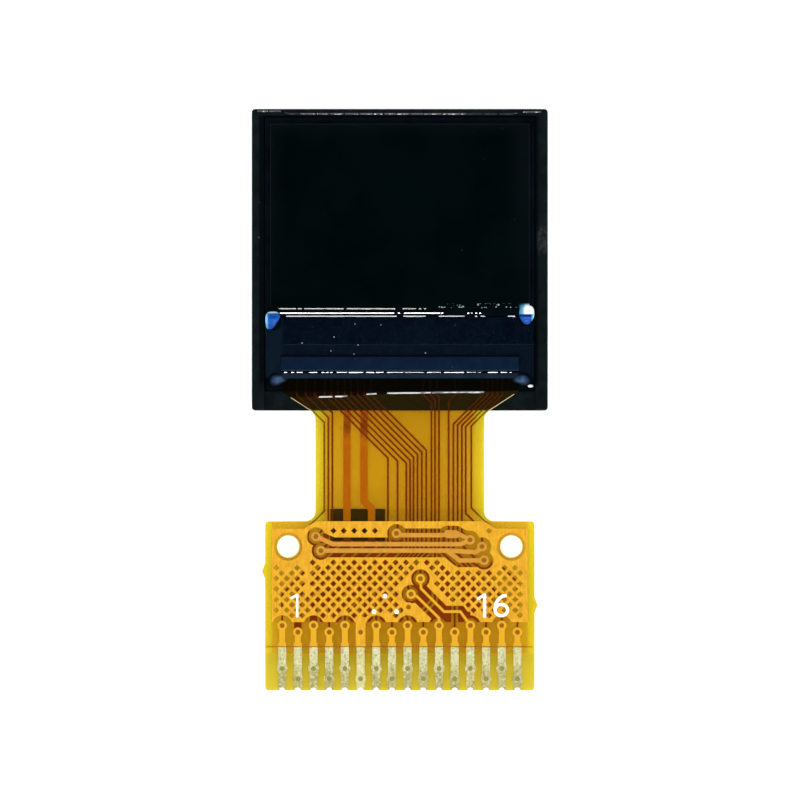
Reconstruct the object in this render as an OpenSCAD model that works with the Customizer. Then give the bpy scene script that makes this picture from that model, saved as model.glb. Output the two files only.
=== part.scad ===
// Half-inch colour display module: a glass panel on a moulded backlight, with a two-layer
// flex tail that is soldered to a main board.
// Millimetres. The module lies on its back: +Z faces the viewer, and the tail leads off along -Y.
// The origin is the centre of the backlight's rear face.

/* [Backlight frame] */
// Width of the moulded frame
frame_w = 13.2; // [12:0.1:15]
// Height of the moulded frame, along Y
frame_h = 13.45; // [12.8:0.05:15]
// Radius of the frame's upright corners
frame_corner = 0.15; // [0.05:0.05:0.3]
// Wall beside the glass, left and right
side_wall = 0.55; // [0.4:0.05:0.8]
// Wall beyond the glass at the top edge
top_wall = 0.33; // [0.2:0.01:0.6]
// Bar beyond the glass at the tail edge
bottom_bar = 0.85; // [0.6:0.05:1.2]
// Shelf under the panel, inside the walls
shelf_w = 0.5; // [0.35:0.05:0.8]
// How far the walls stop short of the front of the glass
wall_drop = 0.08; // [0:0.02:0.2]
// Chamfer along the frame's front edges
frame_bevel = 0.06; // [0.02:0.01:0.1]
// Gap round a piece that drops into the frame
drop_in_gap = 0.05; // [0.02:0.01:0.1]
// Space between the frame's bar and the flex that crosses it
bar_gap = 0.06; // [0.03:0.01:0.12]

/* [Optical films] */
// Thickness of the white rear reflector
reflector_t = 0.07; // [0.05:0.01:0.12]
// How far the reflector laps under the frame
reflector_lap = 0.3; // [0.15:0.05:0.4]
// Thickness of the light guide plate
guide_t = 0.45; // [0.4:0.05:0.7]
// How far the light guide runs on under the ledge of the glass
guide_overhang = 0.35; // [0.1:0.05:0.8]
// Thickness of the diffuser film
diffuser_t = 0.04; // [0.03:0.01:0.08]
// Thickness of each prism film
prism_t = 0.04; // [0.03:0.01:0.08]
// Thickness of the black tape that carries the panel
rim_tape_t = 0.05; // [0.03:0.01:0.1]
// How far the rim tape laps over the films
rim_tape_lap = 0.35; // [0.2:0.05:0.6]

/* [Backlight lamp] */
// Length of the side-firing lamp
led_w = 3.8; // [2:0.1:5]
// Depth of the lamp behind the light guide
led_d = 0.8; // [0.5:0.05:1.1]
// Height of the lamp
led_t = 0.42; // [0.3:0.01:0.42]
// Wall of the lamp's white housing round its window
led_wall = 0.1; // [0.06:0.01:0.14]
// Depth of the yellow window in the lamp
led_window_d = 0.3; // [0.15:0.05:0.4]
// Length of the flex strip under the lamp
led_strip_w = 5.6; // [5:0.1:7]
// Depth of the flex strip under the lamp
led_strip_d = 1.3; // [1.2:0.1:1.6]
// Thickness of the lamp flex film
led_film_t = 0.08; // [0.05:0.01:0.1]
// Width of the tab that joins the lamp flex to the main flex
led_tab_w = 1.45; // [1.3:0.05:1.7]
// Middle of that tab along X
led_tab_x = -1.98; // [-2:0.02:-1.9]
// Flat length of that tab under the main flex
led_tab_flat = 1.1; // [1:0.05:1.3]
// Angle of the two bends in that tab
led_tab_angle = 70; // [50:5:80]
// Straight stretch of the tab before its first bend
led_tab_lead = 0.1; // [0.05:0.05:0.2]
// Length of each solder joint on the tab
led_joint_len = 0.8; // [0.5:0.05:0.9]

/* [Panel] */
// Thickness of each sheet of glass
glass_t = 0.3; // [0.2:0.05:0.4]
// Stand-in for the liquid crystal gap, which is about 0.004
cell_gap = 0.02; // [0.01:0.005:0.03]
// Width of the seal round the liquid crystal
seal_w = 0.3; // [0.2:0.05:0.4]
// Ledge of the array glass that the front glass leaves bare
ledge = 3.295; // [2.8:0.005:3.6]
// Ground chamfer along the front glass's edges
arris = 0.05; // [0.02:0.01:0.08]
// Slope of the cut edge of the front glass towards the ledge
cut_lean = 0.06; // [0.02:0.01:0.1]
// Thickness of each polariser
polarizer_t = 0.12; // [0.08:0.01:0.2]
// Bare glass beside the polarisers
polarizer_side = 0.22; // [0.1:0.02:0.4]
// Bare glass above the polarisers
polarizer_top = 0.29; // [0.1:0.01:0.5]
// Bare glass between the polarisers and the ledge
polarizer_bottom = 0.37; // [0.35:0.01:0.6]
// Chamfer of the polarisers' cut edges
polarizer_bevel = 0.03; // [0.01:0.01:0.06]

/* [Driver chip] */
// Glass left bare beside the ends of the driver chip
chip_inset = 0.68; // [0.5:0.02:1.5]
// Depth of the driver chip along Y
chip_d = 0.62; // [0.5:0.02:0.9]
// Height of the driver chip
chip_t = 0.25; // [0.15:0.01:0.28]
// Chamfer along the chip's upper edges
chip_bevel = 0.02; // [0.01:0.01:0.05]
// Distance from the edge of the array glass to the middle of the chip
chip_from_edge = 1.19; // [1.05:0.01:1.6]
// Thickness of the conductive bond film under the chip and the flex
bond_film_t = 0.02; // [0.01:0.005:0.03]
// Bond film showing beyond the long sides of the chip
chip_bond_margin = 0.06; // [0.02:0.01:0.1]
// Thickness of the blue coating on the ledge
coating_t = 0.06; // [0.03:0.01:0.1]
// Gap between the coating and what stands in it
coating_gap = 0.02; // [0.01:0.01:0.05]

/* [Flex outline] */
// Glass left bare beside the bonded end of the flex
head_inset = 0.7; // [0.5:0.05:0.9]
// Length of the flex on the glass
bond_len = 0.56; // [0.4:0.02:0.75]
// Straight side of the head below the edge of the glass
head_side = 0.04; // [0.02:0.02:0.1]
// Drop of the sloping shoulders below the head
shoulder_drop = 1.02; // [0.9:0.02:1.4]
// Width of the neck
neck_w = 7.52; // [7.2:0.02:8.2]
// Distance from the foot of the shoulders to the tail
neck_len = 4.78; // [4.5:0.02:6]
// Fillet between the shoulders and the neck
shoulder_fillet = 0.4; // [0.2:0.05:0.6]
// Fillet between the neck and the tail
tail_fillet = 0.45; // [0.2:0.05:0.6]
// Length of the tail
tail_len = 7.55; // [7.3:0.05:9]
// Film beyond the outer solder pads
tail_margin = 0.58; // [0.5:0.02:0.9]
// Corner radius of the tail
tail_corner = 0.15; // [0.1:0.05:0.3]
// Height of the breakaway nubs on the tail's sides
nub_out = 0.14; // [0.05:0.01:0.2]
// Length of each breakaway nub
nub_len = 0.72; // [0.4:0.02:1]
// Distance from the top of the tail to the left nub
nub_left_down = 2.22; // [1.5:0.02:3]
// Distance from the top of the tail to the right nub
nub_right_down = 3.74; // [3:0.02:4.2]
// Diameter of the two locating holes
locate_d = 1; // [0.8:0.05:1.1]
// Distance between the two locating holes
locate_span = 9.95; // [9.8:0.05:10.2]
// Distance from the top of the tail to the locating holes
locate_down = 1.13; // [1:0.01:1.25]

/* [Flex layers] */
// Thickness of the base film
base_t = 0.03; // [0.02:0.005:0.05]
// Thickness of the copper on each side
copper_t = 0.02; // [0.012:0.002:0.035]
// Thickness of each cover film
cover_t = 0.03; // [0.02:0.005:0.05]
// Adhesive line between two laminated layers
glue_line = 0.004; // [0.002:0.001:0.008]
// Skew of the front cover film's upper edge, from one side to the other
cover_skew_len = 0.22; // [0:0.02:0.3]
// Thickness of the stiffener behind the tail
stiffener_t = 0.1; // [0.06:0.01:0.15]
// How far the stiffener reaches up the neck
stiffener_rise = 0.55; // [0.3:0.05:0.8]
// How far the stiffener reaches past the cover films
stiffener_past = 0.31; // [0.1:0.01:0.5]
// Width of the black tape behind the neck
patch_w = 2.45; // [1.5:0.05:3]
// Length of that tape
patch_len = 1.43; // [1:0.01:2]
// Middle of that tape along X
patch_x = -1.88; // [-2:0.02:-1.5]
// Thickness of that tape
patch_t = 0.05; // [0.03:0.01:0.1]

/* [Solder pads] */
// Distance between solder pads
pad_pitch = 0.7; // [0.65:0.01:0.75]
// Width of a solder pad
pad_w = 0.36; // [0.28:0.02:0.44]
// Bare length of a solder pad
pad_len = 1.96; // [1.8:0.02:2.4]
// Width of the track that feeds a pad
stem_w = 0.26; // [0.16:0.02:0.3]
// Radius of the half-round bite in a pad's end
bite_r = 0.13; // [0.08:0.01:0.15]
// Distance from the tail's end to the lower of the staggered pad vias
pad_via_low = 0.52; // [0.45:0.02:0.7]
// Distance from the bare pads up to the lower of the covered vias
stem_via_low = 0.64; // [0.55:0.02:0.8]
// Step between the staggered vias on the bare pads
pad_via_pitch = 0.46; // [0.3:0.02:0.6]
// Step between the staggered vias above the pads
stem_via_pitch = 0.3; // [0.2:0.02:0.35]

/* [Flex tracks] */
// Drawing grid of the tail's copper
grid_pitch = 0.01; // [0.0095:0.0005:0.0105]
// Radius of a via's copper ring
ring_r = 0.215; // [0.18:0.005:0.23]
// Radius of a via's bore
via_r = 0.09; // [0.06:0.01:0.1]
// Wall of the plating in a via
via_wall = 0.03; // [0.02:0.01:0.04]
// Room round a plated via in the base film
via_gap = 0.005; // [0.002:0.001:0.01]
// Width of the front jumper tracks
jumper_w = 0.2; // [0.12:0.02:0.24]
// Width of the wide stretch in the top jumper
bulge_w = 0.36; // [0.3:0.02:0.44]
// Width of the fine front tracks
fine_w = 0.12; // [0.08:0.02:0.16]
// Width of the rear tracks
track_w = 0.085; // [0.06:0.005:0.1]
// Width of the two lamp supply tracks
supply_w = 0.33; // [0.25:0.01:0.38]
// Spacing between the two lamp supply tracks
supply_pitch = 0.76; // [0.7:0.02:0.8]
// Etched gap between the ground copper and other copper
moat = 0.2; // [0.14:0.02:0.24]
// Etched gap between the balancing copper and the rear tracks
fill_gap = 0.11; // [0.105:0.005:0.12]
// Distance from the top of the tail to the balancing copper on its rear
fill_down = 0.45; // [0.44:0.01:0.48]
// Film left bare along the sides of the tail
ground_margin = 0.3; // [0.2:0.02:0.4]
// Etched ring round a locating hole
locate_ring = 0.13; // [0.08:0.01:0.2]
// Sideways pitch of the hatched ground copper
hatch_pitch_x = 0.463; // [0.44:0.001:0.6]
// Row pitch of the hatched ground copper
hatch_pitch_y = 0.236; // [0.22:0.002:0.3]
// Half diagonal of a hatch opening
hatch_half = 0.14; // [0.06:0.005:0.15]
// Width of the link from the ground copper to its pad
ground_link_w = 0.44; // [0.3:0.02:0.5]

/* [Glue] */
// Width of the glue drops on the front glass's corners
drop_w = 0.68; // [0.5:0.02:0.8]
// Reach of the left drop down the ledge
left_drop_down = 0.6; // [0.4:0.02:0.8]
// Lap of the left drop on the front glass
left_drop_lap = 0.2; // [0.1:0.02:0.34]
// Reach of the right drop down the ledge
right_drop_down = 0.42; // [0.3:0.02:0.6]
// Lap of the right drop on the front glass
right_drop_lap = 0.33; // [0.2:0.01:0.34]
// How far a drop stands above the front glass
drop_proud = 0.06; // [0.02:0.01:0.1]
// Length of the glue at each end of the flex bond, along Y
end_glue_len = 0.56; // [0.3:0.02:0.8]
// How far that glue stands above the flex
end_glue_proud = 0.05; // [0.02:0.01:0.1]

/* [Hidden] */
$fn = 48;
// A cut runs this far past the faces it opens
cut = 0.5;

// Heights of the stack, from the rear face up
z_guide = reflector_t;
z_diffuser = z_guide + guide_t;
z_lower_prism = z_diffuser + diffuser_t;
z_upper_prism = z_lower_prism + prism_t;
z_shelf = z_upper_prism + prism_t;
z_rear_polarizer = z_shelf + rim_tape_t;
z_array = z_rear_polarizer + polarizer_t;
z_cell = z_array + glass_t;
z_filter = z_cell + cell_gap;
z_front = z_filter + glass_t;
z_top = z_front + polarizer_t;
z_wall = z_front - wall_drop;
z_rear_copper = z_cell + bond_film_t;
z_base = z_rear_copper + copper_t + glue_line;
z_front_copper = z_base + base_t + glue_line;
z_front_cover = z_front_copper + copper_t + glue_line;
z_rear_cover = z_rear_copper - glue_line - cover_t;
z_stiffener = z_rear_cover - glue_line - stiffener_t;
z_patch = z_stiffener - glue_line - patch_t;
z_bar = z_rear_cover - bar_gap;
z_led = led_film_t + copper_t;

// Edges of the panel
glass_x = frame_w / 2 - side_wall - drop_in_gap;
glass_top = frame_h / 2 - top_wall - drop_in_gap;
glass_end = -frame_h / 2 + bottom_bar + drop_in_gap;
filter_end = glass_end + ledge;
polarizer_x = glass_x - polarizer_side;
polarizer_y0 = filter_end + polarizer_bottom;
polarizer_y1 = glass_top - polarizer_top;
chip_y = glass_end + chip_from_edge;
chip_w = 2 * (glass_x - chip_inset);
head_w = 2 * (glass_x - head_inset);

// Window of the frame and the plates in it
window_x = glass_x + drop_in_gap - shelf_w;
window_y1 = glass_top + drop_in_gap - shelf_w;
window_y0 = filter_end - guide_overhang - drop_in_gap;
guide_x = window_x - drop_in_gap;
guide_y0 = window_y0 + drop_in_gap;
guide_y1 = window_y1 - drop_in_gap;
led_y1 = guide_y0 - drop_in_gap;
led_y0 = led_y1 - led_d;
frame_end = -frame_h / 2;
led_track_gap = 0.05;

// Landmarks of the flex along Y
fan_drop = 0.2;
dive_down = 1.25;
cover_from_glass = 0.12;
head_y = glass_end + bond_len;
shoulder_y = glass_end - head_side;
neck_y = shoulder_y - shoulder_drop;
tail_y = neck_y - neck_len;
tail_end = tail_y - tail_len;
cover_end = tail_end + pad_len;
fan_y = glass_end - fan_drop;
cover_edge = shoulder_y - cover_from_glass;

// Solder pads, numbered from the left
pad_count = 16;
ground_pad = 5;
function pad_x(i) = (i - (pad_count - 1) / 2) * pad_pitch;
function stagger(i) = (i + 1) % 2;
function stem_via_y(i) = cover_end + stem_via_low + stagger(i) * stem_via_pitch;
function pad_via_y(i) = tail_end + pad_via_low + stagger(i) * pad_via_pitch;
function pad_via(i) = [pad_x(i), stem_via_y(i)];
tail_w = (pad_count - 1) * pad_pitch + pad_w + 2 * tail_margin;
ground_x = tail_w / 2 - ground_margin;
ground_end = stem_via_y(0) + stem_via_pitch / 2;
ground_shoulder = 0.33;
ground_flare = 0.5;
pad_moat = 0.24;
pad_ring_r = 0.245;

// Vias of the front jumpers, as counts of the grid across and below the top of the tail
function on_tail(across, down) = [across * grid_pitch, tail_y - down * grid_pitch];
via_a = on_tail(-374, 68);
via_b = on_tail(-352, 131);
via_c = on_tail(-15, 54);
via_d = on_tail(313, 83);
via_e = on_tail(367, 113);
via_f = on_tail(376, 174);
via_g = on_tail(92, 256);
via_h = on_tail(50, 325);
ground_via = on_tail(39, 383);
jumper_vias = [via_a, via_b, via_c, via_d, via_e, via_f];

// Jumper tracks on the front, and the two fine tracks that end in pads
jumper_top = [via_c, on_tail(10, 62), on_tail(188, 62), on_tail(235, 55), on_tail(275, 62),
    via_d];
jumper_mid = [via_a, on_tail(-298, 102), on_tail(273, 102), via_d];
jumper_low = [via_b, on_tail(224, 131), on_tail(340, 138), via_e];
jumper_branch = [on_tail(210, 131), on_tail(266, 175), via_f];
fine_left = [via_h, on_tail(77, 336), on_tail(175, 432), pad_via(10)];
fine_right = [via_g, on_tail(95, 300), on_tail(197, 403), on_tail(270, 403), pad_via(12)];
// Wide stretch in the top jumper
bulge = [on_tail(214, 57), on_tail(250, 58)];

// Lanes of the rear tracks across the neck, and the places where they start on the glass.
// Left lanes are measured from the left edge of the neck, the others from its right edge, in grid counts.
// The places on the glass are shares of the head's width.
function from_right(gaps) = [for (gap = gaps) neck_w / 2 - gap * grid_pitch];
function on_head(first, pitch, count) = [for (i = [0:count - 1]) (first + pitch * i) * head_w];
left_lanes = [for (gap = [39, 57, 75]) gap * grid_pitch - neck_w / 2];
middle_lanes = from_right([429, 386, 347, 330, 315, 297, 278, 258]);
inner_lanes = from_right([235, 219, 201]);
right_lanes = from_right([158, 137, 118, 99, 82, 57]);
left_bonds = on_head(-0.434, 0.0377, 3);
middle_bonds = on_head(-0.316, 0.0278, 8);
inner_bonds = on_head(0.1, 0.0283, 3);
right_bonds = concat(on_head(0.232, 0, 1), on_head(0.349, 0.0208, 5));
lanes = concat(left_lanes, middle_lanes, inner_lanes, right_lanes);
bonds = concat(left_bonds, middle_bonds, inner_bonds, right_bonds);

// Ways on from a lane, all at 45 degrees: straight to a via, slantwise from a given distance below the
// top of the tail, or round an obstacle along x between two such distances
function hook(lane, stop) = [[lane, stop[1] + abs(stop[0] - lane)], stop];
function dive(lane, stop, down = dive_down) =
    [[lane, tail_y - down], [stop[0], tail_y - down - abs(stop[0] - lane)], stop];
function detour(lane, x, low, stop, high = dive_down) =
    [[lane, tail_y - high], [x, tail_y - high - abs(x - lane)],
        [x, tail_y - low], [stop[0], tail_y - low - abs(stop[0] - x)], stop];
// Place of the outermost tracks, which pass the locating holes on the inside
outer_x = locate_span / 2 - locate_d / 2 - locate_ring - track_w;
// How each rear track ends, in the order of the lanes
endings = [
    detour(lanes[0], -outer_x, 227 * grid_pitch, pad_via(0), -45 * grid_pitch),
    hook(lanes[1], via_a),
    hook(lanes[2], via_b),
    dive(lanes[3], pad_via(3)),
    hook(lanes[4], via_c),
    dive(lanes[5], pad_via(4)),
    dive(lanes[6], pad_via(5)),
    dive(lanes[7], pad_via(6)),
    dive(lanes[8], pad_via(7)),
    detour(lanes[9], 10 * grid_pitch, 405 * grid_pitch, pad_via(8)),
    detour(lanes[10], 37 * grid_pitch, 298 * grid_pitch, via_h),
    dive(lanes[11], via_g),
    dive(lanes[12], pad_via(9), 350 * grid_pitch),
    dive(lanes[13], pad_via(11)),
    dive(lanes[14], pad_via(13)),
    dive(lanes[15], pad_via(14)),
    [[lanes[16], via_f[1] + 86 * grid_pitch], [lanes[16] + 86 * grid_pitch, via_f[1]], via_f],
    hook(lanes[17], via_d),
    dive(lanes[18], via_e, -35 * grid_pitch),
    detour(lanes[19], outer_x, 175 * grid_pitch, pad_via(15), -60 * grid_pitch)];

// Lamp flex: height and run of its two bends, and the place of its solder joints
tab_rise = z_rear_cover - glue_line - z_led;
tab_bend_r = tab_rise / (2 * (1 - cos(led_tab_angle)));
tab_run = 2 * tab_bend_r * sin(led_tab_angle);
tab_flat_y = frame_end - led_tab_lead - tab_run;
joint_y = tab_flat_y - led_tab_flat / 2;

// Lamp supply tracks on the rear of the main flex, each from a solder joint to its pad. The right one
// steps sideways first.
supply_x = [led_tab_x - supply_pitch / 2, led_tab_x + supply_pitch / 2];
supply_pads = [1, 2];
supply_step = [0, 34 * grid_pitch];
supply_step_down = -0.9;
supply_dive_down = 1.06;
function supply_path(i) = concat(
    [[supply_x[i], joint_y + led_joint_len / 2], [supply_x[i], tail_y - supply_step_down],
        [supply_x[i] + supply_step[i], tail_y - supply_step_down - supply_step[i]]],
    dive(supply_x[i] + supply_step[i], pad_via(supply_pads[i]), supply_dive_down));

// Pads with a rear half on a signal track
rear_pads = [for (i = [0:pad_count - 1]) if (i != supply_pads[0] && i != supply_pads[1]) i];
// Every via of the flex
all_vias = concat([for (i = [0:pad_count - 1]) pad_via(i)],
    [for (i = [0:pad_count - 1]) [pad_x(i), pad_via_y(i)]], jumper_vias, [via_g, via_h, ground_via]);

// Glue drops at the ends of the flex bond
end_glue_in = 0.09;
end_glue_drop = 0.08;
end_glue_r = end_glue_len / 2;
end_glue_x = (head_w / 2 + glass_x) / 2 - end_glue_in;
end_glue_y = head_y - end_glue_drop;

// Unit vector along v
function unit(v) = v / norm(v);
// Point list without repeats
function distinct(p) = [for (i = [0:len(p) - 1]) if (i == 0 || norm(p[i] - p[max(i - 1, 0)]) > 0.001) p[i]];
// Left-hand normal of the step from a to b
function left_of(a, b) = let (d = unit(b - a)) [-d[1], d[0]];
// Point i of the path p moved sideways by s, with mitred corners
function beside(p, i, s) = let (
    n0 = left_of(p[max(i - 1, 0)], p[max(i, 1)]),
    n1 = left_of(p[min(i, len(p) - 2)], p[min(i + 1, len(p) - 1)]),
    m = unit(n0 + n1)) p[i] + m * s / (m * n0);
// Distance from the point q to the step from a to b, and to a whole path
function to_step(q, a, b) = let (t = (q - a) * (b - a) / ((b - a) * (b - a)))
    norm(q - a - max(0, min(1, t)) * (b - a));
function to_path(q, p) = min([for (i = [0:len(p) - 2]) to_step(q, p[i], p[i + 1])]);
// Points on an arc about c
function arc(c, r, from, to, steps = 10) =
    [for (i = [0:steps]) let (a = from + (to - from) * i / steps) c + r * [cos(a), sin(a)]];
function backwards(p) = [for (i = [len(p) - 1:-1:0]) p[i]];

// Flat track of width w along the path
module track(path, w) {
    p = distinct(path);
    polygon([for (i = [0:len(p) - 1]) beside(p, i, -w / 2),
        for (i = [len(p) - 1:-1:0]) beside(p, i, w / 2)]);
}

// The same track with room all round it
module track_room(path, w, room = moat) {
    track(path, w + 2 * room);
    discs(path, w / 2 + room);
}

// Discs at a list of points
module discs(points, r) {
    for (q = points) translate(q) circle(r);
}

// Upright rectangle between two corners
module field(x0, y0, x1, y1) {
    translate([x0, y0]) square([x1 - x0, y1 - y0]);
}

// Rectangle with round corners, about the origin
module soft_rect(w, h, r) {
    square([w - 2 * r, h], center = true);
    square([w, h - 2 * r], center = true);
    for (x = [-1, 1], y = [-1, 1]) translate([x * (w / 2 - r), y * (h / 2 - r)]) circle(r);
}

// Plate between two corners, from z up by t
module plate(x0, y0, x1, y1, z, t) {
    translate([x0, y0, z]) cube([x1 - x0, y1 - y0, t]);
}

// Section of a plate from a0 to a1 and from z up by t, with its upper edges chamfered by b
function rim_section(a0, a1, z, t, b) =
    [[a0, z], [a1, z], [a1, z + t - b], [a1 - b, z + t], [a0 + b, z + t], [a0, z + t - b]];

// Plate between two corners, from z up by t, with its upper edges chamfered by b
module bevelled_plate(x0, y0, x1, y1, z, t, b) {
    intersection() {
        bent_strip((x0 + x1) / 2, x1 - x0, rim_section(y0, y1, z, t, b));
        cross_strip(y0, y1, rim_section(x0, x1, z, t, b));
    }
}

// Layer of thickness t at height z
module layer(z, t) {
    translate([0, 0, z]) linear_extrude(t) children();
}

// Fillet in the corner p between the directions a and b
module corner_fill(p, a, b, r) {
    half = acos(unit(a) * unit(b)) / 2;
    reach = r / tan(half);
    root = p - unit(unit(a) + unit(b)) * reach / 2;
    difference() {
        polygon(cross(a, b) > 0 ? [root, p + unit(a) * reach, p + unit(b) * reach]
            : [root, p + unit(b) * reach, p + unit(a) * reach]);
        translate(p + unit(unit(a) + unit(b)) * r / sin(half)) circle(r);
    }
}

// Solid strip along a profile in the Y-Z plane, centred at x
module bent_strip(x, w, profile) {
    translate([x - w / 2, 0, 0]) rotate([90, 0, 90]) linear_extrude(w) polygon(profile);
}

// Solid strip along a profile in the X-Z plane, from y0 to y1
module cross_strip(y0, y1, profile) {
    translate([0, y1, 0]) rotate([90, 0, 0]) linear_extrude(y1 - y0) polygon(profile);
}

// Moulded frame with walls round the glass, a shelf, and pockets for lamp and flex
module backlight_frame() {
    color([0.03, 0.03, 0.035]) difference() {
        intersection() {
            layer(0, z_wall) soft_rect(frame_w, frame_h, frame_corner);
            bevelled_plate(-frame_w / 2, -frame_h / 2, frame_w / 2, frame_h / 2, 0, z_wall, frame_bevel);
        }
        plate(-glass_x - drop_in_gap, glass_end - drop_in_gap, glass_x + drop_in_gap,
            glass_top + drop_in_gap, z_shelf, z_wall);
        plate(-glass_x - drop_in_gap, frame_end - cut, glass_x + drop_in_gap, glass_end, z_bar, z_wall);
        plate(-window_x, window_y0, window_x, window_y1, -cut, z_wall);
        plate(-led_w / 2 - drop_in_gap, led_y0 - drop_in_gap, led_w / 2 + drop_in_gap, guide_y0, -cut,
            cut + z_led + led_t + drop_in_gap);
        plate(-window_x - reflector_lap - drop_in_gap, window_y0, window_x + reflector_lap + drop_in_gap,
            window_y1 + reflector_lap + drop_in_gap, -cut, cut + reflector_t);
        plate(-led_strip_w / 2 - drop_in_gap, led_y1 - led_strip_d - drop_in_gap,
            led_strip_w / 2 + drop_in_gap, guide_y0, -cut, cut + z_led + drop_in_gap);
        plate(led_tab_x - led_tab_w / 2 - drop_in_gap, frame_end - cut,
            led_tab_x + led_tab_w / 2 + drop_in_gap, led_y0, -cut, cut + z_led + drop_in_gap);
    }
}

// White film that closes the back of the light guide
module rear_reflector() {
    color([0.9, 0.9, 0.88]) plate(-window_x - reflector_lap, guide_y0, window_x + reflector_lap,
        window_y1 + reflector_lap, 0, reflector_t);
}

module optical_plate(z, t) {
    plate(-guide_x, guide_y0, guide_x, guide_y1, z, t);
}

module light_guide() { color([0.85, 0.9, 0.92]) optical_plate(z_guide, guide_t); }
module diffuser_film() { color([0.92, 0.92, 0.9]) optical_plate(z_diffuser, diffuser_t); }
module lower_prism_film() { color([0.8, 0.84, 0.86]) optical_plate(z_lower_prism, prism_t); }
module upper_prism_film() { color([0.82, 0.86, 0.88]) optical_plate(z_upper_prism, prism_t); }

// Black double-sided tape on the shelf, lapping over the films
module rim_tape() {
    color([0.02, 0.02, 0.02]) layer(z_shelf, rim_tape_t) difference() {
        field(-glass_x, glass_end, glass_x, glass_top);
        field(-guide_x + rim_tape_lap, guide_y0 + rim_tape_lap,
            guide_x - rim_tape_lap, guide_y1 - rim_tape_lap);
    }
}

// Window in the lamp's front
module led_window() {
    plate(-led_w / 2 + led_wall, led_y1 - led_window_d, led_w / 2 - led_wall, led_y1,
        z_led + led_wall, led_t - 2 * led_wall);
}

// White housing of the side-firing lamp, open towards the light guide
module backlight_led() {
    color([0.93, 0.93, 0.9]) difference() {
        plate(-led_w / 2, led_y0, led_w / 2, led_y1, z_led, led_t);
        translate([0, cut, 0]) led_window();
        led_window();
    }
}

module led_phosphor() { color([0.95, 0.85, 0.2]) led_window(); }

// Edge of the tab's profile, s above its lower face, from the lamp to the end under the main flex
function tab_edge(s) = let (half = z_led / 2) distinct(concat(
    [[led_y0, s]],
    [for (q = arc([led_tab_lead, tab_bend_r + half], tab_bend_r + half - s, -90, led_tab_angle - 90))
        [frame_end - q[0], q[1]]],
    [for (q = arc([led_tab_lead + tab_run, tab_rise - tab_bend_r + half], tab_bend_r - half + s,
        90 + led_tab_angle, 90)) [frame_end - q[0], q[1]]],
    [[tab_flat_y - led_tab_flat, tab_rise + s]]));

// Film of the lamp's own flex: a strip behind the lamp and a tab that bends up to the main flex
module led_flex() {
    color([0.85, 0.55, 0.1]) {
        plate(-led_strip_w / 2, led_y1 - led_strip_d, led_strip_w / 2, led_y1, 0, led_film_t);
        bent_strip(led_tab_x, led_tab_w, concat(tab_edge(0), backwards(tab_edge(led_film_t))));
    }
}

// Two copper tracks on that film, from under the lamp's ends to the solder joints
module led_flex_copper() {
    behind_led = led_y0 - led_track_gap - supply_w / 2;
    under_led = led_y0 + led_d / 2;
    far_end = led_w / 2 - supply_w / 2;
    color([0.8, 0.45, 0.2]) {
        for (i = [0, 1])
            bent_strip(supply_x[i], supply_w, concat(tab_edge(led_film_t), backwards(tab_edge(z_led))));
        layer(led_film_t, copper_t) {
            track([[supply_x[0], led_y0], [supply_x[0], under_led], [supply_w - led_w / 2, under_led]],
                supply_w);
            track([[supply_x[1], behind_led], [far_end, behind_led], [far_end, under_led]], supply_w);
        }
    }
}

// Solder between the lamp's flex and the main flex
module led_solder_joints() {
    color([0.75, 0.75, 0.78]) for (i = [0, 1])
        plate(supply_x[i] - supply_w / 2, joint_y - led_joint_len / 2, supply_x[i] + supply_w / 2,
            joint_y + led_joint_len / 2, z_rear_cover - glue_line,
            z_rear_copper - z_rear_cover + glue_line);
}

module polarizer_sheet(z) {
    bevelled_plate(-polarizer_x, polarizer_y0, polarizer_x, polarizer_y1, z, polarizer_t, polarizer_bevel);
}

module rear_polarizer() { color([0.12, 0.12, 0.14]) polarizer_sheet(z_rear_polarizer); }
module front_polarizer() { color([0.01, 0.01, 0.015]) polarizer_sheet(z_front); }

module array_glass() {
    color([0.05, 0.07, 0.12]) plate(-glass_x, glass_end, glass_x, glass_top, z_array, glass_t);
}

// Front glass, with ground edges and a sloping cut above the ledge
module colour_filter_glass() {
    color([0.03, 0.04, 0.06]) intersection() {
        bent_strip(0, 2 * glass_x, [[filter_end, z_filter], [glass_top, z_filter],
            [glass_top, z_front - arris], [glass_top - arris, z_front],
            [filter_end + cut_lean + arris, z_front], [filter_end + cut_lean, z_front - arris]]);
        cross_strip(filter_end, glass_top, rim_section(-glass_x, glass_x, z_filter, glass_t, arris));
    }
}

// Epoxy frame that holds the two sheets apart
module cell_seal() {
    color([0.1, 0.1, 0.1]) layer(z_cell, cell_gap) difference() {
        field(-glass_x, filter_end, glass_x, glass_top);
        field(-glass_x + seal_w, filter_end + seal_w, glass_x - seal_w, glass_top - seal_w);
    }
}

module liquid_crystal() {
    color([0.2, 0.22, 0.25])
        plate(-glass_x + seal_w, filter_end + seal_w, glass_x - seal_w, glass_top - seal_w,
            z_cell, cell_gap);
}

// Drop of glue over a corner of the front glass, at x, from lap above its edge to down below it
module edge_glue(x, lap, down) {
    r = drop_w / 2;
    high = z_front + drop_proud;
    color([0.35, 0.6, 0.9]) difference() {
        hull() {
            translate([x, filter_end + lap - r, high - r]) sphere(r, $fn = 28);
            translate([x, filter_end - down + r, z_cell + drop_proud]) sphere(r, $fn = 28);
        }
        plate(-glass_x, glass_end, glass_x, glass_top, z_cell - r - cut, r + cut);
        plate(-glass_x, filter_end, glass_x, glass_top, z_cell - cut, cut + z_front - z_cell);
    }
}

module left_edge_glue() { edge_glue(-glass_x + drop_w / 2, left_drop_lap, left_drop_down); }
module right_edge_glue() { edge_glue(glass_x - drop_w / 2, right_drop_lap, right_drop_down); }

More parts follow.
